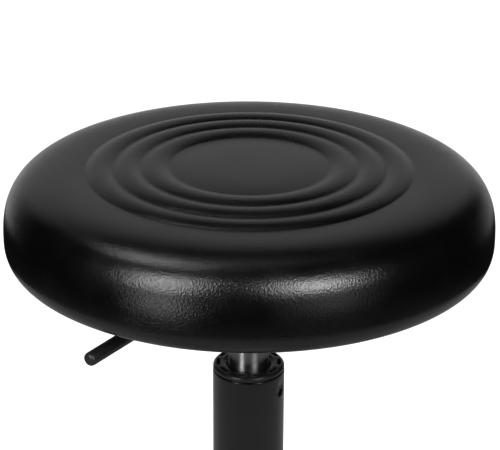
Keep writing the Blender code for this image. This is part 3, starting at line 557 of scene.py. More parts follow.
def floor_finish():
    """Plain pale studio floor."""
    return finish("studio_floor", grey(0.80), grey(0.82), (0.7, 0.8), 0.4, [])


FINISHES = {
    "vinyl": vinyl_finish(),
    "painted_steel": painted_steel_finish(),
    "ground_steel": ground_steel_finish(),
    "zinc": zinc_finish(),
    "nylon": nylon_finish(),
    "bushing": bushing_finish(),
    "grip": grip_finish(),
    "tread": tread_finish(),
    "rubber": rubber_finish(),
    "foam": foam_finish(),
    "plywood": plywood_finish(),
}


# ------------ seat


def shoulder_height(radius):
    """Height of the shoulder over the seat's widest line, as a superellipse."""
    share = np.clip((radius - SHOULDER_RADIUS) / (SEAT_RADIUS - SHOULDER_RADIUS), 0, 1)
    return SHOULDER_HEIGHT * (1 - share**SHOULDER_EXPONENT) ** (1 / SHOULDER_EXPONENT)


def top_height(radius):
    """Height of the padded top: a crowned disc, three round ridges, and the rim's inner slope."""
    height = np.empty_like(radius)
    disc = radius < CREASES[0]
    height[disc] = CREASE_HEIGHTS[0] + DISC_CROWN * (1 - (radius[disc] / CREASES[0]) ** 3.5)
    for i in range(len(CREASES) - 1):
        band = (radius >= CREASES[i]) & (radius < CREASES[i + 1])
        share = (radius[band] - CREASES[i]) / (CREASES[i + 1] - CREASES[i])
        base = CREASE_HEIGHTS[i] + (CREASE_HEIGHTS[i + 1] - CREASE_HEIGHTS[i]) * share
        height[band] = base + RIDGE_HEIGHT * (1 - (2 * share - 1) ** 2)
    rim = radius >= CREASES[-1]
    dip = (SHOULDER_HEIGHT - CREASE_HEIGHTS[-1]) * np.exp(-(radius[rim] - CREASES[-1]) / RIM_DIP_REACH)
    height[rim] = shoulder_height(radius[rim]) - dip
    return height


def seat_outline():
    """Points (radius, z) of the cover, from the middle of the top round to the folded lip."""
    fine = [np.linspace(0, CREASES[0] - CREASE_ZONE, 22)]
    for crease in CREASES:
        fine.append(crease + CREASE_ZONE * np.array(CREASE_STOPS))
    for i in range(len(CREASES) - 1):
        fine.append(np.linspace(CREASES[i] + CREASE_ZONE, CREASES[i + 1] - CREASE_ZONE, 9))
    fine.append(np.linspace(CREASES[-1] + CREASE_ZONE, SHOULDER_RADIUS + 0.012, 8))
    top = np.sort(np.concatenate(fine))
    points = [(r, SEAT_EQUATOR + z) for r, z in zip(top, top_height(top))]
    span = SEAT_RADIUS - SHOULDER_RADIUS
    start = math.asin((RIM_START / span) ** (SHOULDER_EXPONENT / 2))
    for angle in np.linspace(start, math.pi / 2, 34)[1:]:
        radius = SHOULDER_RADIUS + span * math.sin(angle) ** (2 / SHOULDER_EXPONENT)
        points.append((radius, SEAT_EQUATOR + float(top_height(np.array([radius]))[0])))
    heel = SEAT_RADIUS - SEAT_FOOT_RADIUS
    drop = SEAT_EQUATOR - SEAT_BOTTOM
    for angle in np.linspace(0, math.pi / 2, 16)[1:]:
        radius = SEAT_FOOT_RADIUS + heel * math.cos(angle) ** (2 / HEEL_EXPONENT)
        points.append((radius, SEAT_EQUATOR - drop * math.sin(angle) ** (2 / HEEL_EXPONENT)))
    for radius in np.linspace(SEAT_FOOT_RADIUS, SEAT_LIP_RADIUS, 12)[1:]:
        points.append((radius, SEAT_BOTTOM))
    return np.array(points)


def soften(outline, width):
    """Round the creases of an outline by averaging along its length."""
    steps = np.linalg.norm(np.diff(outline, axis=0), axis=1)
    along = np.concatenate([[0], np.cumsum(steps)])
    dense = np.linspace(0, along[-1], 4000)
    fine = np.stack([np.interp(dense, along, outline[:, k]) for k in (0, 1)], 1)
    spacing = dense[1] - dense[0]
    reach = int(3 * width / spacing)
    kernel = np.exp(-0.5 * (np.arange(-reach, reach + 1) * spacing / width) ** 2)
    kernel /= kernel.sum()
    smooth = fine.copy()
    padded = np.pad(fine, ((reach, reach), (0, 0)), mode="edge")
    for k in (0, 1):
        smooth[:, k] = np.convolve(padded[:, k], kernel, mode="valid")
    result = np.stack([np.interp(along, dense, smooth[:, k]) for k in (0, 1)], 1)
    result[0] = outline[0]
    result[-1] = outline[-1]
    return result


def grid_points(outline, turns):
    """The outline turned about the axis, as an array of [outline point, turn, xyz]."""
    angles = np.arange(turns) * math.tau / turns
    radius = outline[:, 0][:, None]
    height = np.repeat(outline[:, 1][:, None], turns, axis=1)
    return np.stack([radius * np.cos(angles), radius * np.sin(angles), height], axis=2)


def grid_faces(rows, turns, first=0):
    """Quads between neighbouring rows of a turned grid."""
    i, j = np.meshgrid(np.arange(rows - 1), np.arange(turns), indexing="ij")
    k = (j + 1) % turns
    here = first + i * turns
    below = first + (i + 1) * turns
    corners = [here + j, below + j, below + k, here + k]
    return np.stack(corners, axis=2).reshape(-1, 4).tolist()


def puffed(points, pinned):
    """Inflate a turned grid a little as cloth, held along the pinned rows.

    Returns how far each point moves, with every move kept under CLOTH_CAP. The middle of the top
    and of the underside are poles.
    """
    rows, turns, _ = points.shape
    vertices = points.reshape(-1, 3).tolist() + [(0, 0, points[0, 0, 2]), (0, 0, points[-1, 0, 2])]
    faces = grid_faces(rows, turns)
    top, bottom = rows * turns, rows * turns + 1
    for j in range(turns):
        k = (j + 1) % turns
        faces.append((top, j, k))
        faces.append((bottom, (rows - 1) * turns + k, (rows - 1) * turns + j))
    mesh = bpy.data.meshes.new("cloth_grid")
    mesh.from_pydata(vertices, [], faces)
    obj = bpy.data.objects.new("cloth_grid", mesh)
    SCENE.collection.objects.link(obj)
    group = obj.vertex_groups.new(name="held")
    for row in pinned:
        group.add(list(range(row * turns, (row + 1) * turns)), 1.0, "REPLACE")
    group.add([bottom], 1.0, "REPLACE")
    cloth = obj.modifiers.new("cloth", "CLOTH")
    cloth.settings.quality = 6
    cloth.settings.mass = 0.3
    cloth.settings.tension_stiffness = 30
    cloth.settings.compression_stiffness = 30
    cloth.settings.shear_stiffness = 10
    cloth.settings.bending_stiffness = 8
    cloth.settings.vertex_group_mass = "held"
    cloth.settings.use_pressure = True
    cloth.settings.uniform_pressure_force = CLOTH_PRESSURE
    cloth.settings.effector_weights.gravity = 0
    cloth.point_cache.frame_end = CLOTH_FRAMES
    for step in range(1, CLOTH_FRAMES + 1):
        SCENE.frame_set(step)
    evaluated = obj.evaluated_get(bpy.context.evaluated_depsgraph_get())
    after = np.empty(len(vertices) * 3)
    evaluated.data.vertices.foreach_get("co", after)
    shift = after.reshape(-1, 3)[: rows * turns].reshape(rows, turns, 3) - points
    bpy.data.objects.remove(obj)
    SCENE.frame_set(1)
    length = np.linalg.norm(shift, axis=2, keepdims=True)
    return shift * CLOTH_CAP / (CLOTH_CAP + length)


def cloth_shift(outline, along):
    """How far the finished cover stands off its turned shape, from a coarse cloth simulation."""
    knots = [np.linspace(0.004, CREASES[0], 10)]
    for inner, outer in zip(CREASES, CREASES[1:]):
        knots.append(np.linspace(inner, outer, 6)[1:])
    crease_rows = [9, 14, 19, 24]
    top = np.concatenate(knots)
    at = np.interp(top, outline[: len(outline) // 2, 0], along[: len(outline) // 2])
    rest = np.linspace(at[-1], along[-1], 34)[1:]
    at = np.concatenate([at, rest])
    coarse = np.stack([np.interp(at, along, outline[:, k]) for k in (0, 1)], 1)
    points = grid_points(coarse, CLOTH_TURNS)
    lip_rows = [row for row in range(len(at)) if at[row] > along[-1] - CLOTH_LIP]
    shift = puffed(points, crease_rows + lip_rows)
    angles = np.arange(SEAT_TURNS) * math.tau / SEAT_TURNS
    coarse_angles = np.arange(CLOTH_TURNS + 1) * math.tau / CLOTH_TURNS
    closed = np.concatenate([shift, shift[:, :1]], axis=1)
    turned_shift = np.empty((len(at), SEAT_TURNS, 3))
    for row in range(len(at)):
        for k in range(3):
            turned_shift[row, :, k] = np.interp(angles, coarse_angles, closed[row, :, k])
    result = np.empty((len(outline), SEAT_TURNS, 3))
    for turn in range(SEAT_TURNS):
        for k in range(3):
            result[:, turn, k] = np.interp(along, at, turned_shift[:, turn, k])
    return result


def wave_sum(angles, counts, seed):
    """A random wave round the seat, made of a few whole numbers of waves."""
    random = np.random.default_rng(seed)
    total = np.zeros_like(angles)
    for count in counts:
        total += random.uniform(0.5, 1.0) * np.cos(count * angles + random.uniform(0, math.tau))
    return total / len(counts)


def build_cover():
    """Vinyl cover: creased top, rounded side, and an edge gathered under the board."""
    outline = soften(seat_outline(), CREASE_SOFTNESS)
    along = np.concatenate([[0], np.cumsum(np.linalg.norm(np.diff(outline, axis=0), axis=1))])
    outline = outline[1:]
    along = along[1:]
    points = grid_points(outline, SEAT_TURNS)
    points += cloth_shift(outline, along)
    angles = np.arange(SEAT_TURNS) * math.tau / SEAT_TURNS
    radial = np.stack([np.cos(angles), np.sin(angles), np.zeros_like(angles)], axis=1)
    below = along - along[-1]
    gather = np.clip((below + GATHER_LENGTH) / 0.028, 0, 1) ** 1.5
    pleats = wave_sum(angles, (38, 45, 52, 61), 5)
    points[:, :, 2] += GATHER_HEIGHT * gather[:, None] * (np.abs(pleats)[None, :] * 2.2 - 0.35)
    side = np.exp(-(((below + 0.055) / 0.016) ** 2))
    slack = wave_sum(angles, (5, 8, 13, 21), 11)
    points += SLACK_HEIGHT * side[:, None, None] * slack[None, :, None] * radial[None, :, :]

    rows = len(outline)
    inner = [(SEAT_LIP_RADIUS, SEAT_BOTTOM + SEAT_LIP_THICKNESS + 0.0004)]
    inner += [(SEAT_FOOT_RADIUS - 0.002, SEAT_BOTTOM + 0.0022)]
    inner += [(SEAT_RADIUS - 0.004, SEAT_EQUATOR), (SEAT_RADIUS - 0.010, SEAT_TOP - 0.022)]
    inner += [(SEAT_RADIUS - 0.030, SEAT_TOP - LINING_DEPTH), (0.001, SEAT_TOP - LINING_DEPTH)]
    lining = grid_points(np.array(inner), SEAT_TURNS)
    vertices = np.concatenate([points.reshape(-1, 3), lining.reshape(-1, 3)])
    faces = grid_faces(rows + len(inner), SEAT_TURNS)
    faces.append(list(range(SEAT_TURNS - 1, -1, -1)))
    last = (rows + len(inner) - 1) * SEAT_TURNS
    faces.append(list(range(last, last + SEAT_TURNS)))
    mesh = bpy.data.meshes.new("seat_vinyl")
    mesh.from_pydata(vertices.tolist(), [], faces)
    bm = bmesh.new()
    bm.from_mesh(mesh)
    middle = min(bm.faces, key=lambda face: (len(face.verts) == 4, -face.calc_center_median().z))
    bmesh.ops.poke(bm, faces=[middle])
    skin = to_mesh(bm, "seat_vinyl", math.radians(70))
    cover = add_piece("seat_vinyl", skin, "vinyl", "seat", ("seat_cover",))


def build_foam():
    """Foam pad inside the cover, with a recess for the board."""
    low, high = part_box("seat_foam")
    board_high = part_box("seat_board")[1]
    recess = board_high.x + 0.0004
    outline = [
        (0, high.z - 0.004),
        (0.120, high.z - 0.004, 0.01),
        (high.x - 0.003, high.z - 0.018, 0.03),
        (high.x - 0.003, low.z + 0.004, 0.008),
        (recess, low.z + 0.001),
        (recess, board_high.z + 0.0004),
        (0, board_high.z + 0.0004),
    ]
    mesh = lathe("seat_foam_pad", outline, 96)
    pad = add_piece("seat_foam_pad", mesh, "foam", "seat", ("seat_foam",))


def build_staples():
    """Wire staples that hold the gathered edge to the board."""
    half = STAPLE_WIDTH / 2
    crown = block("staple", (-STAPLE_WIRE, -half, -STAPLE_RISE), (STAPLE_WIRE, half, STAPLE_RISE / 3))
    staple = bevelled("staple", crown, 0.0003, 2)
    spots = []
    random = np.random.default_rng(3)
    for i in range(STAPLE_COUNT):
        turn = Matrix.Rotation(math.tau * (i + random.uniform(-0.15, 0.15)) / STAPLE_COUNT, 4, "Z")
        reach = SEAT_LIP_RADIUS + 0.007 + random.uniform(-0.001, 0.001)
        place = Matrix.Translation((reach, 0, SEAT_BOTTOM - 0.0008))
        spots.append(moved(staple, turn @ place @ Matrix.Rotation(random.uniform(-0.2, 0.2), 4, "Z")))
    add_piece("edge_staples", joined("edge_staples", spots), "zinc", "seat")


# ------------ mechanism and lever


def lever_joint():
    """The lever's hinge point and the level direction from the hinge to the grip."""
    joint = next(j for j in frame["joints"] if j["name"] == "lever_hinge")
    axis = Vector(joint["axis"])
    return Vector(joint["pos_m"]), Vector((-axis.y, axis.x, 0)).normalized()


def lever_frame():
    """Carries a piece turned about Z onto the lever's line, with z as the reach from the swivel axis."""
    _, way = lever_joint()
    line = (way * math.cos(LEVER_SLOPE) - Vector((0, 0, math.sin(LEVER_SLOPE)))).normalized()
    return Matrix.Translation((0, 0, LEVER_AXIS_Z)) @ lying(line)


def build_lever():
    """Bar with its pivot barrel, and the sleeve pushed over it."""
    place = lever_frame()
    sleeve = [
        (LEVER_BORE, LEVER_GRIP_START),
        (LEVER_GRIP_RADIUS, LEVER_GRIP_START, 0.0008),
        (LEVER_GRIP_RADIUS, LEVER_TIP, 0.0032),
        (0, LEVER_TIP + 0.0002),
        (0, LEVER_TIP - 0.004),
        (LEVER_BORE, LEVER_TIP - 0.004),
    ]
    grip = moved(lathe("grip_sleeve", sleeve, 40, 8), place)
    add_piece("grip_sleeve", grip, "grip", "lever", ("lever_grip",))

    hinge, way = lever_joint()
    bar_outline = [
        (0, -0.006),
        (LEVER_BAR_RADIUS, -0.006, 0.0006),
        (LEVER_BAR_RADIUS, LEVER_BAR_END, 0.0005),
        (0, LEVER_BAR_END),
    ]
    bar = moved(lathe("round_bar", bar_outline, 32), place)
    half = LEVER_BARREL_HALF
    barrel_outline = [
        (HINGE_BORE, -half, 0.0003),
        (LEVER_BARREL_RADIUS, -half, 0.0006),
        (LEVER_BARREL_RADIUS, half, 0.0006),
        (HINGE_BORE, half, 0.0003),
    ]
    across = Vector((-way.y, way.x, 0))
    barrel = moved(lathe("barrel", barrel_outline, 32), Matrix.Translation(hinge) @ lying(across))
    add_piece("lever_arm", joined("lever_arm", [bar, barrel]), "painted_steel", "lever", ("lever_bar",))


def build_bolt(number):
    """Hexagon bolt: a head with a chamfered rim, a washer, and a shank into the T-nut."""
    low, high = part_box(f"plate_bolt_{number}")
    centre = (low + high) / 2
    plate_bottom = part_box("mounting_plate")[0].z
    head = plate_bottom - BOLT_WASHER_HEIGHT
    narrow, wide = BOLT_HEX_RADIUS * 0.86, BOLT_HEX_RADIUS * 1.06
    hexagon = [ring(BOLT_HEX_RADIUS, z, 6) for z in (low.z, head)]
    blank = skinned("hexagon", hexagon)
    dome_outline = [(0, low.z), (narrow, low.z, 0.0005), (wide, low.z + 0.0013), (wide, head), (0, head)]
    dome = lathe("head_chamfer", dome_outline, 48)
    helper = bpy.data.objects.new("head_chamfer", dome)
    SCENE.collection.objects.link(helper)
    settings = {"object": helper, "operation": "INTERSECT", "solver": "EXACT"}
    shaped = with_modifiers("bolt_head", blank, [("BOOLEAN", settings)])
    bpy.data.objects.remove(helper)
    seat = plate_bottom - 0.0002
    washer_outline = [
        (0.0033, head),
        (BOLT_WASHER_RADIUS, head, 0.0003),
        (BOLT_WASHER_RADIUS, seat, 0.0002),
        (0.0033, seat),
    ]
    washer = lathe("washer", washer_outline, 40)
    shank_outline = [(0, head), (BOLT_SHANK_RADIUS, head), (BOLT_SHANK_RADIUS, high.z, 0.0006), (0, high.z)]
    shank = lathe("shank", shank_outline, 32)
    place = Matrix.Translation((centre.x, centre.y, 0)) @ Matrix.Rotation(0.4 * number, 4, "Z")
    mesh = moved(joined("bolt", [shaped, washer, shank]), place)
    add_piece(f"hex_bolt_{number}", mesh, "zinc", "seat", (f"plate_bolt_{number}",))


def build_mechanism():
    """Plate, channel, socket with its weld, and the hinge pin."""
    for node, name, width in (
        ("mounting_plate", "seat_plate", 0.0007),
        ("lever_channel", "lever_housing", 0.0007),
    ):
        add_piece(name, bevelled(name, cad_mesh(node), width), "painted_steel", "seat", (node,))

    low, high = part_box("taper_socket")
    radius = high.x
    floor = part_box("lever_channel")[0].z
    outline = [
        (SOCKET_BORE, low.z, 0.0004),
        (radius, low.z, 0.0008),
        (radius, floor - 0.0024),
        (radius + 0.0022, floor - 0.0003, 0.0012),
        (radius, floor - 0.0002),
        (radius, high.z, 0.0008),
        (0.0136, high.z, 0.0004),
        (SOCKET_BORE, SOCKET_FLARE_Z),
    ]
    socket = lathe("socket", outline, 80)
    add_piece("socket", socket, "painted_steel", "seat", ("taper_socket",))

    hinge, way = lever_joint()
    across = Vector((-way.y, way.x, 0))
    pin = plain_pin("hinge_pin", HINGE_PIN_RADIUS, HINGE_PIN_HALF, 0.0006)
    pin = moved(pin, Matrix.Translation(hinge) @ lying(across))
    add_piece("hinge_pin", pin, "zinc", "seat", ("lever_pivot_pin",))


# ------------ gas lift


def arc_slot(radius, half_width, half_angle, low, high):
    """A cutter for one arc-shaped slot with round ends, centred on +X."""
    outline = []
    steps = 7
    for end, edge in ((half_angle, radius + half_width), (-half_angle, radius - half_width)):
        for angle in np.linspace(-end, end, steps):
            outline.append((edge * math.cos(angle), edge * math.sin(angle)))
        spin = np.array([[math.cos(end), -math.sin(end)], [math.sin(end), math.cos(end)]])
        first = 0 if end > 0 else math.pi
        for turn in np.linspace(first, first + math.pi, steps)[1:-1]:
            away = half_width * np.array([math.cos(turn), math.sin(turn)])
            outline.append(tuple(spin @ (np.array([radius, 0]) + away)))
    return skinned("arc_slot", [[(x, y, z) for x, y in outline] for z in (low, high)])


def build_bushing():
    """Guide bushing: flange with a rounded rim, a ring of slots, and a chamfered bore."""
    low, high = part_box("column_bushing")
    tube_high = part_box("column_tube")[1]
    radius, bore = high.x, BUSHING_BORE
    flange = tube_high.z + 0.0003
    body = radius - 0.0018
    outline = [
        (bore, low.z),
        (body, low.z, 0.0006),
        (body, flange - 0.0004),
        (radius - 0.0009, flange - 0.0004),
        (radius - 0.0009, flange + 0.0004),
        (radius - 0.0001, flange + 0.0005, 0.0003),
        (radius - 0.0001, high.z - 0.0014, 0.0006),
        (radius - 0.0014, high.z, 0.0006),
        (0.0176, high.z, 0.0003),
        (0.0172, high.z - 0.0007, 0.0003),
        (0.0160, high.z - 0.0008, 0.0003),
        (bore + 0.0002, high.z - 0.0026, 0.0005),
        (bore, high.z - 0.006),
    ]
    blank = lathe("bushing", outline, 144, 4)
    slot = arc_slot(SLOT_CIRCLE, SLOT_HALF_WIDTH, SLOT_HALF_ANGLE, high.z - 0.010, high.z + 0.002)
    mesh = bevelled("bushing", cut_from("bushing", blank, round_copies(slot, SLOT_COUNT)), 0.00018, 2)
    add_piece("bushing", mesh, "bushing", "base", ("column_bushing",))


def build_tube():
    """Column tube with a rolled rim, a tapered foot, and two staking dents under the rim."""
    low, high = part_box("column_tube")
    radius, foot, wall = high.x, TUBE_FOOT_RADIUS, TUBE_WALL
    taper = TUBE_TAPER_END
    top = high.z
    dent_z = top - DENT_DROP
    floor = low.z + TUBE_FLOOR
    outline = [(ROD_HOLE, low.z), (foot, low.z, 0.001), (radius, taper)]
    outline = rounded(outline + [(radius, top - 0.035)])
    outline += [(radius, z) for z in np.linspace(top - 0.030, top - 0.002, 36)]
    rim = [(radius, top - 0.0018), (radius, top, 0.0007), (radius - wall, top, 0.0003)]
    outline += rounded(rim + [(radius - wall, top - 0.002)])[1:]
    outline += [(radius - wall, taper), (foot - wall, floor), (ROD_HOLE, floor)]
    mesh = turned("tube", outline, 240)
    for vertex in mesh.vertices:
        point = vertex.co
        if point.z < top - 0.034 or math.hypot(point.x, point.y) < radius - 0.0004:
            continue
        for azimuth in DENT_AZIMUTHS:
            side = radius * ((math.atan2(point.y, point.x) - azimuth + math.pi) % math.tau - math.pi)
            drop = point.z - dent_z
            tall = DENT_ABOVE if drop > 0 else DENT_BELOW
            reach = (side / DENT_HALF_WIDTH) ** 2 + (drop / tall) ** 2
            if reach < 1:
                depth = DENT_DEPTH * (1 - reach) ** 0.7 * (1 - max(0.0, drop) / DENT_ABOVE)
                inwards = Vector((point.x, point.y, 0)).normalized()
                vertex.co = point - inwards * depth
    add_piece("tube", mesh, "painted_steel", "base", ("column_tube",))


def build_cylinder():
    """Moving cylinder with a tapered neck, and the pin in its head."""
    low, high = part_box("gas_cylinder")
    radius, bore = high.x, CYLINDER_BORE
    outline = [
        (bore, low.z, 0.0004),
        (radius, low.z, 0.0006),
        (radius, CYLINDER_NECK_Z, 0.001),
        (0.0132, high.z, 0.0008),
        (PIN_HOLE, high.z, 0.0004),
        (PIN_HOLE, CYLINDER_CEILING),
        (bore, CYLINDER_CEILING),
    ]
    mesh = lathe("cylinder", outline, 128)
    add_piece("cylinder", mesh, "ground_steel", "seat", ("gas_cylinder",))

    low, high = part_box("release_pin")
    radius = high.x
    outline = [(0, low.z), (radius, low.z, 0.0004), (radius, high.z - 0.0012, 0.0012), (0, high.z)]
    mesh = lathe("valve_pin", outline, 40, 8)
    add_piece("valve_pin", mesh, "ground_steel", "valve_pin", ("release_pin",))


# ------------ base


def base_facts():
    """Stem circle radius, and the direction of the first arm."""
    joint = next(j for j in frame["joints"] if j["name"] == "caster_swivel_1")
    x, y, _ = joint["pos_m"]
    return math.hypot(x, y), math.atan2(y, x)


def arm_half(share, inset):
    """Half the width of an arm. share runs from the hub to the tip."""
    return ARM_HALF_WIDTHS[0] + (ARM_HALF_WIDTHS[1] - ARM_HALF_WIDTHS[0]) * share - inset


def arm_section(share, reach, inset):
    """Rounded cross-section of an arm, open to be skinned."""
    half = arm_half(share, inset)
    fall = 0.45 * share + 0.55 * (1 - math.cos(math.pi * share)) / 2
    top = ARM_TOPS[0] + (ARM_TOPS[1] - ARM_TOPS[0]) * fall - inset
    points = []
    steps = 14
    for i in range(steps + 1):
        angle = math.pi * i / steps
        side = math.copysign(abs(math.cos(angle)) ** 0.55, math.cos(angle))
        rise = math.sin(angle) ** 0.62
        points.append((reach, half * side, (top - ARM_CROWN) + ARM_CROWN * rise))
    low_half = half + 0.0006
    return [(reach, low_half, ARM_BOTTOM), *points, (reach, -low_half, ARM_BOTTOM)]


def arm_shell():
    """One arm with an open underside: its outer skin joined to its inner skin."""
    reach_end, _ = base_facts()
    stations = 22
    start, end = ARM_START, reach_end - ARM_TIP_GAP
    outer, inner = [], []
    for i in range(stations + 1):
        share = i / stations
        reach = start + (end - start) * share
        outer.append(arm_section(share, reach, 0.0))
        inner.append(arm_section(share, reach, ARM_WALL))
    rings = []
    for out, within in zip(outer, inner):
        rings.append(out + [(x, y, z) for x, y, z in within[::-1]])
    return skinned("arm", rings)


def arm_ribs():
    """Cross walls inside an arm."""
    ribs = []
    for reach in RIB_REACHES:
        share = (reach - ARM_START) / ARM_LENGTH
        top = arm_section(share, reach, RIB_INSET)[8][2] - 0.001
        half = arm_half(share, RIB_INSET)
        ribs.append(block("rib", (reach - RIB_HALF, -half, RIB_BOTTOM), (reach + RIB_HALF, half, top)))
    return ribs


def build_star():
    """Five-star base as one moulding: hub, ribbed arms, and a boss at each tip."""
    low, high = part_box("star_base")
    stem_circle, first = base_facts()
    hub = [
        (0.0245, low.z),
        (0.0360, low.z, 0.002),
        (0.0350, 0.1060, 0.006),
        (0.0312, high.z - 0.0015, 0.003),
        (0.0275, high.z, 0.0015),
        (0.0253, high.z, 0.001),
    ]
    boss_outline = [
        (BOSS_BORE, BOSS_LOW),
        (BOSS_RADIUS, BOSS_LOW, 0.0015),
        (BOSS_RADIUS, 0.0935, 0.006),
        (0.0, 0.0952),
        (0.0, 0.0922),
        (BOSS_BORE, 0.0920),
    ]
    boss = lathe("boss", boss_outline, 48)
    meshes = [lathe("hub", hub, 96)]
    meshes += round_copies(arm_shell(), 5, 0, first)
    meshes += round_copies(boss, 5, stem_circle, first)
    for rib in arm_ribs():
        meshes += round_copies(rib, 5, 0, first)
    mesh = moulded("star", meshes, 0.0014, 5)
    add_piece("star", mesh, "nylon", "base", ("star_base",))


# ------------ casters


def wheel_mesh():
    """Wheel turned about its axle, from its inner side at 0 to its outer face."""
    outline = [
        (WHEEL_BORE, 0.0006),
        (0.0080, 0.0, 0.0006),
        (0.0250, 0.0010, 0.001),
        (0.0270, 0.0004, 0.0008),
        (WHEEL_RADIUS - 0.0006, 0.0006, 0.0016),
        (WHEEL_RADIUS, WHEEL_WIDTH * 0.5, 0.004),
        (WHEEL_RADIUS - 0.0006, WHEEL_WIDTH - 0.0012, 0.0018),
        (0.0262, WHEEL_WIDTH - 0.0004, 0.0006),
        (0.0254, WHEEL_WIDTH - 0.0016, 0.0004),
        (0.0244, WHEEL_WIDTH - 0.0016, 0.0004),
        (0.0236, WHEEL_WIDTH - 0.0006, 0.0008),
        (0.0130, WHEEL_WIDTH - 0.0026, 0.004),
        (0.0088, WHEEL_WIDTH - 0.0024, 0.0008),
        (0.0078, WHEEL_WIDTH - 0.0004, 0.0010),
        (0, WHEEL_WIDTH),
        (0, 0.0145),
        (WHEEL_BORE, 0.0145),
    ]
    return turned("wheel", rounded(outline, 5), 72, math.radians(50))


def wheel_parts():
    """Wheel body and tread as two meshes that share the wheel's axle."""
    inner, outer = WHEEL_RADIUS - 0.0022, WHEEL_RADIUS + 0.00005
    tread = [
        (inner, 0.0020, 0.0006),
        (outer, 0.0024, 0.0012),
        (outer, WHEEL_WIDTH - 0.0036, 0.0012),
        (inner, WHEEL_WIDTH - 0.0032, 0.0006),
    ]
    return wheel_mesh(), lathe("tread", tread, 72)


def housing_mesh():
    """Caster housing as one moulding: hood over both wheels, web, neck and collar."""
    steps = 30
    half, inner, outer = HOOD_HALF, HOOD_INNER, HOOD_OUTER
    rings = []
    for i in range(steps + 1):
        angle = HOOD_START + HOOD_SWEEP * i / steps
        points = []
        for x, radius in (
            (-half, inner),
            (half, inner),
            (half, outer - 0.0013),
            (half - 0.0028, outer - 0.0002),
            (0.010, outer + 0.0001),
            (-0.010, outer + 0.0001),
            (-half + 0.0028, outer - 0.0002),
            (-half, outer - 0.0013),
        ):
            y = -CASTER_TRAIL - radius * math.cos(angle)
            points.append((x, y, WHEEL_RADIUS + radius * math.sin(angle)))
        rings.append(points)
    hood = skinned("hood", rings)
    web_turn = lying((1, 0, 0))
    axle = Vector((0, -CASTER_TRAIL, WHEEL_RADIUS))
    web_outline = [(0.0034, -0.0038), (0.0200, -0.0038, 0.001), (0.0200, 0.0038, 0.001), (0.0034, 0.0038)]
    web = moved(lathe("web", web_outline, 48), Matrix.Translation(axle) @ web_turn)
    post_low = (-0.0036, axle.y - 0.010, axle.z + 0.006)
    post_high = (0.0036, axle.y + 0.0215, axle.z + 0.0252)
    post = block("post", post_low, post_high)
    neck = lathe("neck", [(0, 0.0262), (0.0073, 0.0262, 0.001), (0.0073, 0.0640), (0, 0.0640)], 40)
    collar_outline = [
        (0.0058, 0.0598),
        (0.0118, 0.0598, 0.0012),
        (0.0118, 0.0652, 0.0012),
        (0.0090, 0.0664, 0.0006),
        (0.0058, 0.0664),
    ]
    collar = lathe("collar", collar_outline, 48)
    rib_low = (-0.0012, axle.y - 0.0335, axle.z + 0.002)
    rib_high = (0.0012, axle.y - 0.006, axle.z + 0.012)
    rib = block("hood_rib", rib_low, rib_high)
    return moulded("caster_body", [hood, web, post, neck, collar, rib], 0.0008, 4)


def build_casters():
    """Five casters. Each is placed at its own swivel joint."""
    body_mesh = housing_mesh()
    wheel, tread = wheel_parts()
    stem_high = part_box("caster_stem_1")[1]
    stem_outline = [
        (0, 0.0402),
        (STEM_RADIUS, 0.0402, 0.0004),
        (STEM_RADIUS, 0.0790, 0.0003),
        (0.0046, 0.0793),
        (0.0046, 0.0848),
        (STEM_RADIUS, 0.0850, 0.0003),
        (STEM_RADIUS, stem_high.z, 0.0016),
        (0, stem_high.z),
    ]
    stem = lathe("stem", stem_outline, 40)
    axle = moved(plain_pin("axle", AXLE_RADIUS, AXLE_HALF, 0.0004), lying((1, 0, 0)))
    for number in range(1, 6):
        joint = next(j for j in frame["joints"] if j["name"] == f"caster_swivel_{number}")
        x, y, _ = joint["pos_m"]
        swivel = Matrix.Translation((x, y, 0))
        hub = swivel @ Matrix.Translation((0, -CASTER_TRAIL, WHEEL_RADIUS))
        carrier = f"caster_{number}"
        add_piece(f"caster_body_{number}", body_mesh, "nylon", carrier, (f"caster_housing_{number}",), swivel)
        add_piece(f"stem_{number}", stem, "zinc", carrier, (f"caster_stem_{number}",), swivel)
        add_piece(f"axle_{number}", axle, "zinc", carrier, (f"caster_axle_{number}",), hub)
        for side, sign in (("left", -1), ("right", 1)):
            turn = Matrix.Rotation(math.radians(90) * sign, 4, "Y") @ Matrix.Translation((0, 0, WHEEL_INNER))
            body = f"wheel_{side}_body_{number}"
            node = f"wheel_{side}_{number}"
            add_piece(f"wheel_{side}_disc_{number}", wheel, "nylon", body, (node,), hub @ turn)
            add_piece(f"wheel_{side}_tread_{number}", tread, "tread", body, (), hub @ turn)


# ------------ carried-over CAD nodes


def finish_cad_nodes():
    """Give every CAD node that stays its finish."""
    kept = {
        "plywood": ["seat_board"],
        "zinc": [f"t_nut_{i}" for i in range(1, 5)]
        + [f"grip_ring_{i}" for i in range(1, 6)]
        + ["retaining_clip"],
        "ground_steel": ["piston_rod", "bearing_balls", "bearing_race_upper", "bearing_race_lower"],
        "bushing": ["rod_guide", "piston_head"],
        "rubber": ["end_bumper"],
    }
    for name, nodes in kept.items():
        for node in nodes:
            materials = frame["nodes"][node].data.materials
            materials.clear()
            materials.append(FINISHES[name])


# ------------ studio


def build_floor():
    """A wide pale floor, kept out of glossy reflections."""
    half = FLOOR_HALF
    mesh = bpy.data.meshes.new("studio_floor")
    corners = [(-half, -half, 0), (half, -half, 0), (half, half, 0), (-half, half, 0)]
    mesh.from_pydata(corners, [], [(0, 1, 2, 3)])
    mesh.materials.append(floor_finish())
    floor = bpy.data.objects.new("studio_floor", mesh)
    floor.location = (0, 0, -FLOOR_GAP)
    floor.visible_glossy = False
    SCENE.collection.objects.link(floor)


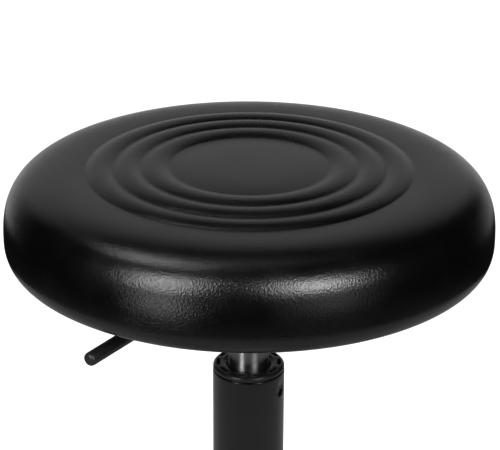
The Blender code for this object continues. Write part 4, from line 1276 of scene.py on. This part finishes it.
def softbox(name, azimuth, elevation, spread, radiance, distance=2.0, reflected=True):
    """A rectangular area light aimed at the seat. Azimuth 0 is the camera's side, + is to the right.

    The spread is how wide and how tall it looks from the seat. Angles are in degrees.
    """
    light = bpy.data.lights.new(name, "AREA")
    light.shape = "RECTANGLE"
    light.size, light.size_y = (2 * distance * math.tan(math.radians(angle) / 2) for angle in spread)
    light.energy = radiance * math.pi * light.size * light.size_y
    lamp = bpy.data.objects.new(name, light)
    a, e = math.radians(azimuth), math.radians(elevation)
    way = Vector((math.sin(a) * math.cos(e), -math.cos(a) * math.cos(e), math.sin(e)))
    lamp.location = Vector((0, 0, SEAT_EQUATOR)) + way * distance
    lamp.rotation_euler = way.to_track_quat("Z", "Y").to_euler()
    lamp.visible_camera = False
    lamp.visible_glossy = reflected
    SCENE.collection.objects.link(lamp)


def build_lights():
    """Front softboxes, side and top lights, a back wall, and a disc for the light off the floor."""
    softbox("left_box", -40, 32, (16, 32), 12.5)
    softbox("left_strip", -37, -4, (12, 24), 4.2)
    softbox("right_box", 32, 34, (20, 22), 16.0)
    softbox("right_wing", 17, 42, (8, 14), 2.0)
    softbox("right_strip", 35, 2, (20, 30), 0.9)
    softbox("side_box", -98, 66, (12, 12), 10.5)
    softbox("top_box", 180, 80, (24, 16), 0.5)
    softbox("back_wall", 185, 12, (66, 60), 0.36, distance=3.8)
    softbox("back_sweep", 180, -8, (86, 22), 0.32, distance=3.8)
    softbox("floor_fill", 0, 89, (70, 70), 0.4, reflected=False)
    bounce = bpy.data.lights.new("floor_bounce", "AREA")
    bounce.shape = "DISK"
    bounce.size = 2 * BOUNCE_RADIUS
    bounce.energy = BOUNCE_RADIANCE * (math.pi * BOUNCE_RADIUS) ** 2
    lamp = bpy.data.objects.new("floor_bounce", bounce)
    lamp.location = (0, 0, 0.001)
    lamp.rotation_euler = (math.pi, 0, 0)
    lamp.visible_camera = False
    SCENE.collection.objects.link(lamp)


def build_world():
    """Pale surroundings that light everything evenly, but show only dimly in the gloss."""
    world = bpy.data.worlds.new("studio")
    world.use_nodes = True
    tree = world.node_tree
    dim = tree.nodes["Background"]
    dim.inputs["Color"].default_value = (*[SURROUND_IN_GLOSS] * 3, 1)
    pale = tree.nodes.new("ShaderNodeBackground")
    pale.inputs["Color"].default_value = (1, 1, 1, 1)
    pale.inputs["Strength"].default_value = SURROUND_STRENGTH
    mix = tree.nodes.new("ShaderNodeMixShader")
    path = tree.nodes.new("ShaderNodeLightPath")
    tree.links.new(path.outputs["Is Glossy Ray"], mix.inputs["Fac"])
    tree.links.new(pale.outputs["Background"], mix.inputs[1])
    tree.links.new(dim.outputs["Background"], mix.inputs[2])
    tree.links.new(mix.outputs["Shader"], tree.nodes["World Output"].inputs["Surface"])
    SCENE.world = world


def build_camera():
    """Camera in front of the seat, looking down at it."""
    data = bpy.data.cameras.new("camera")
    data.lens = FOCAL_LENGTH * 1000
    data.shift_x, data.shift_y = CAMERA_SHIFT
    data.clip_end = 50
    camera = bpy.data.objects.new("camera", data)
    way = Vector((0, -math.cos(CAMERA_ELEVATION), math.sin(CAMERA_ELEVATION)))
    camera.location = Vector((0, 0, SEAT_EQUATOR)) + way * CAMERA_DISTANCE
    look = way.to_track_quat("Z", "Y").to_matrix() @ Matrix.Rotation(CAMERA_ROLL, 3, "Z")
    camera.rotation_euler = look.to_euler()
    SCENE.collection.objects.link(camera)
    SCENE.camera = camera


def main():
    build_camera()
    build_world()
    build_lights()
    build_floor()
    build_cover()
    build_foam()
    build_staples()
    build_mechanism()
    for number in range(1, 5):
        build_bolt(number)
    build_lever()
    build_bushing()
    build_tube()
    build_cylinder()
    build_star()
    build_casters()
    finish_cad_nodes()


main()
SCENE.view_settings.view_transform = "Standard"
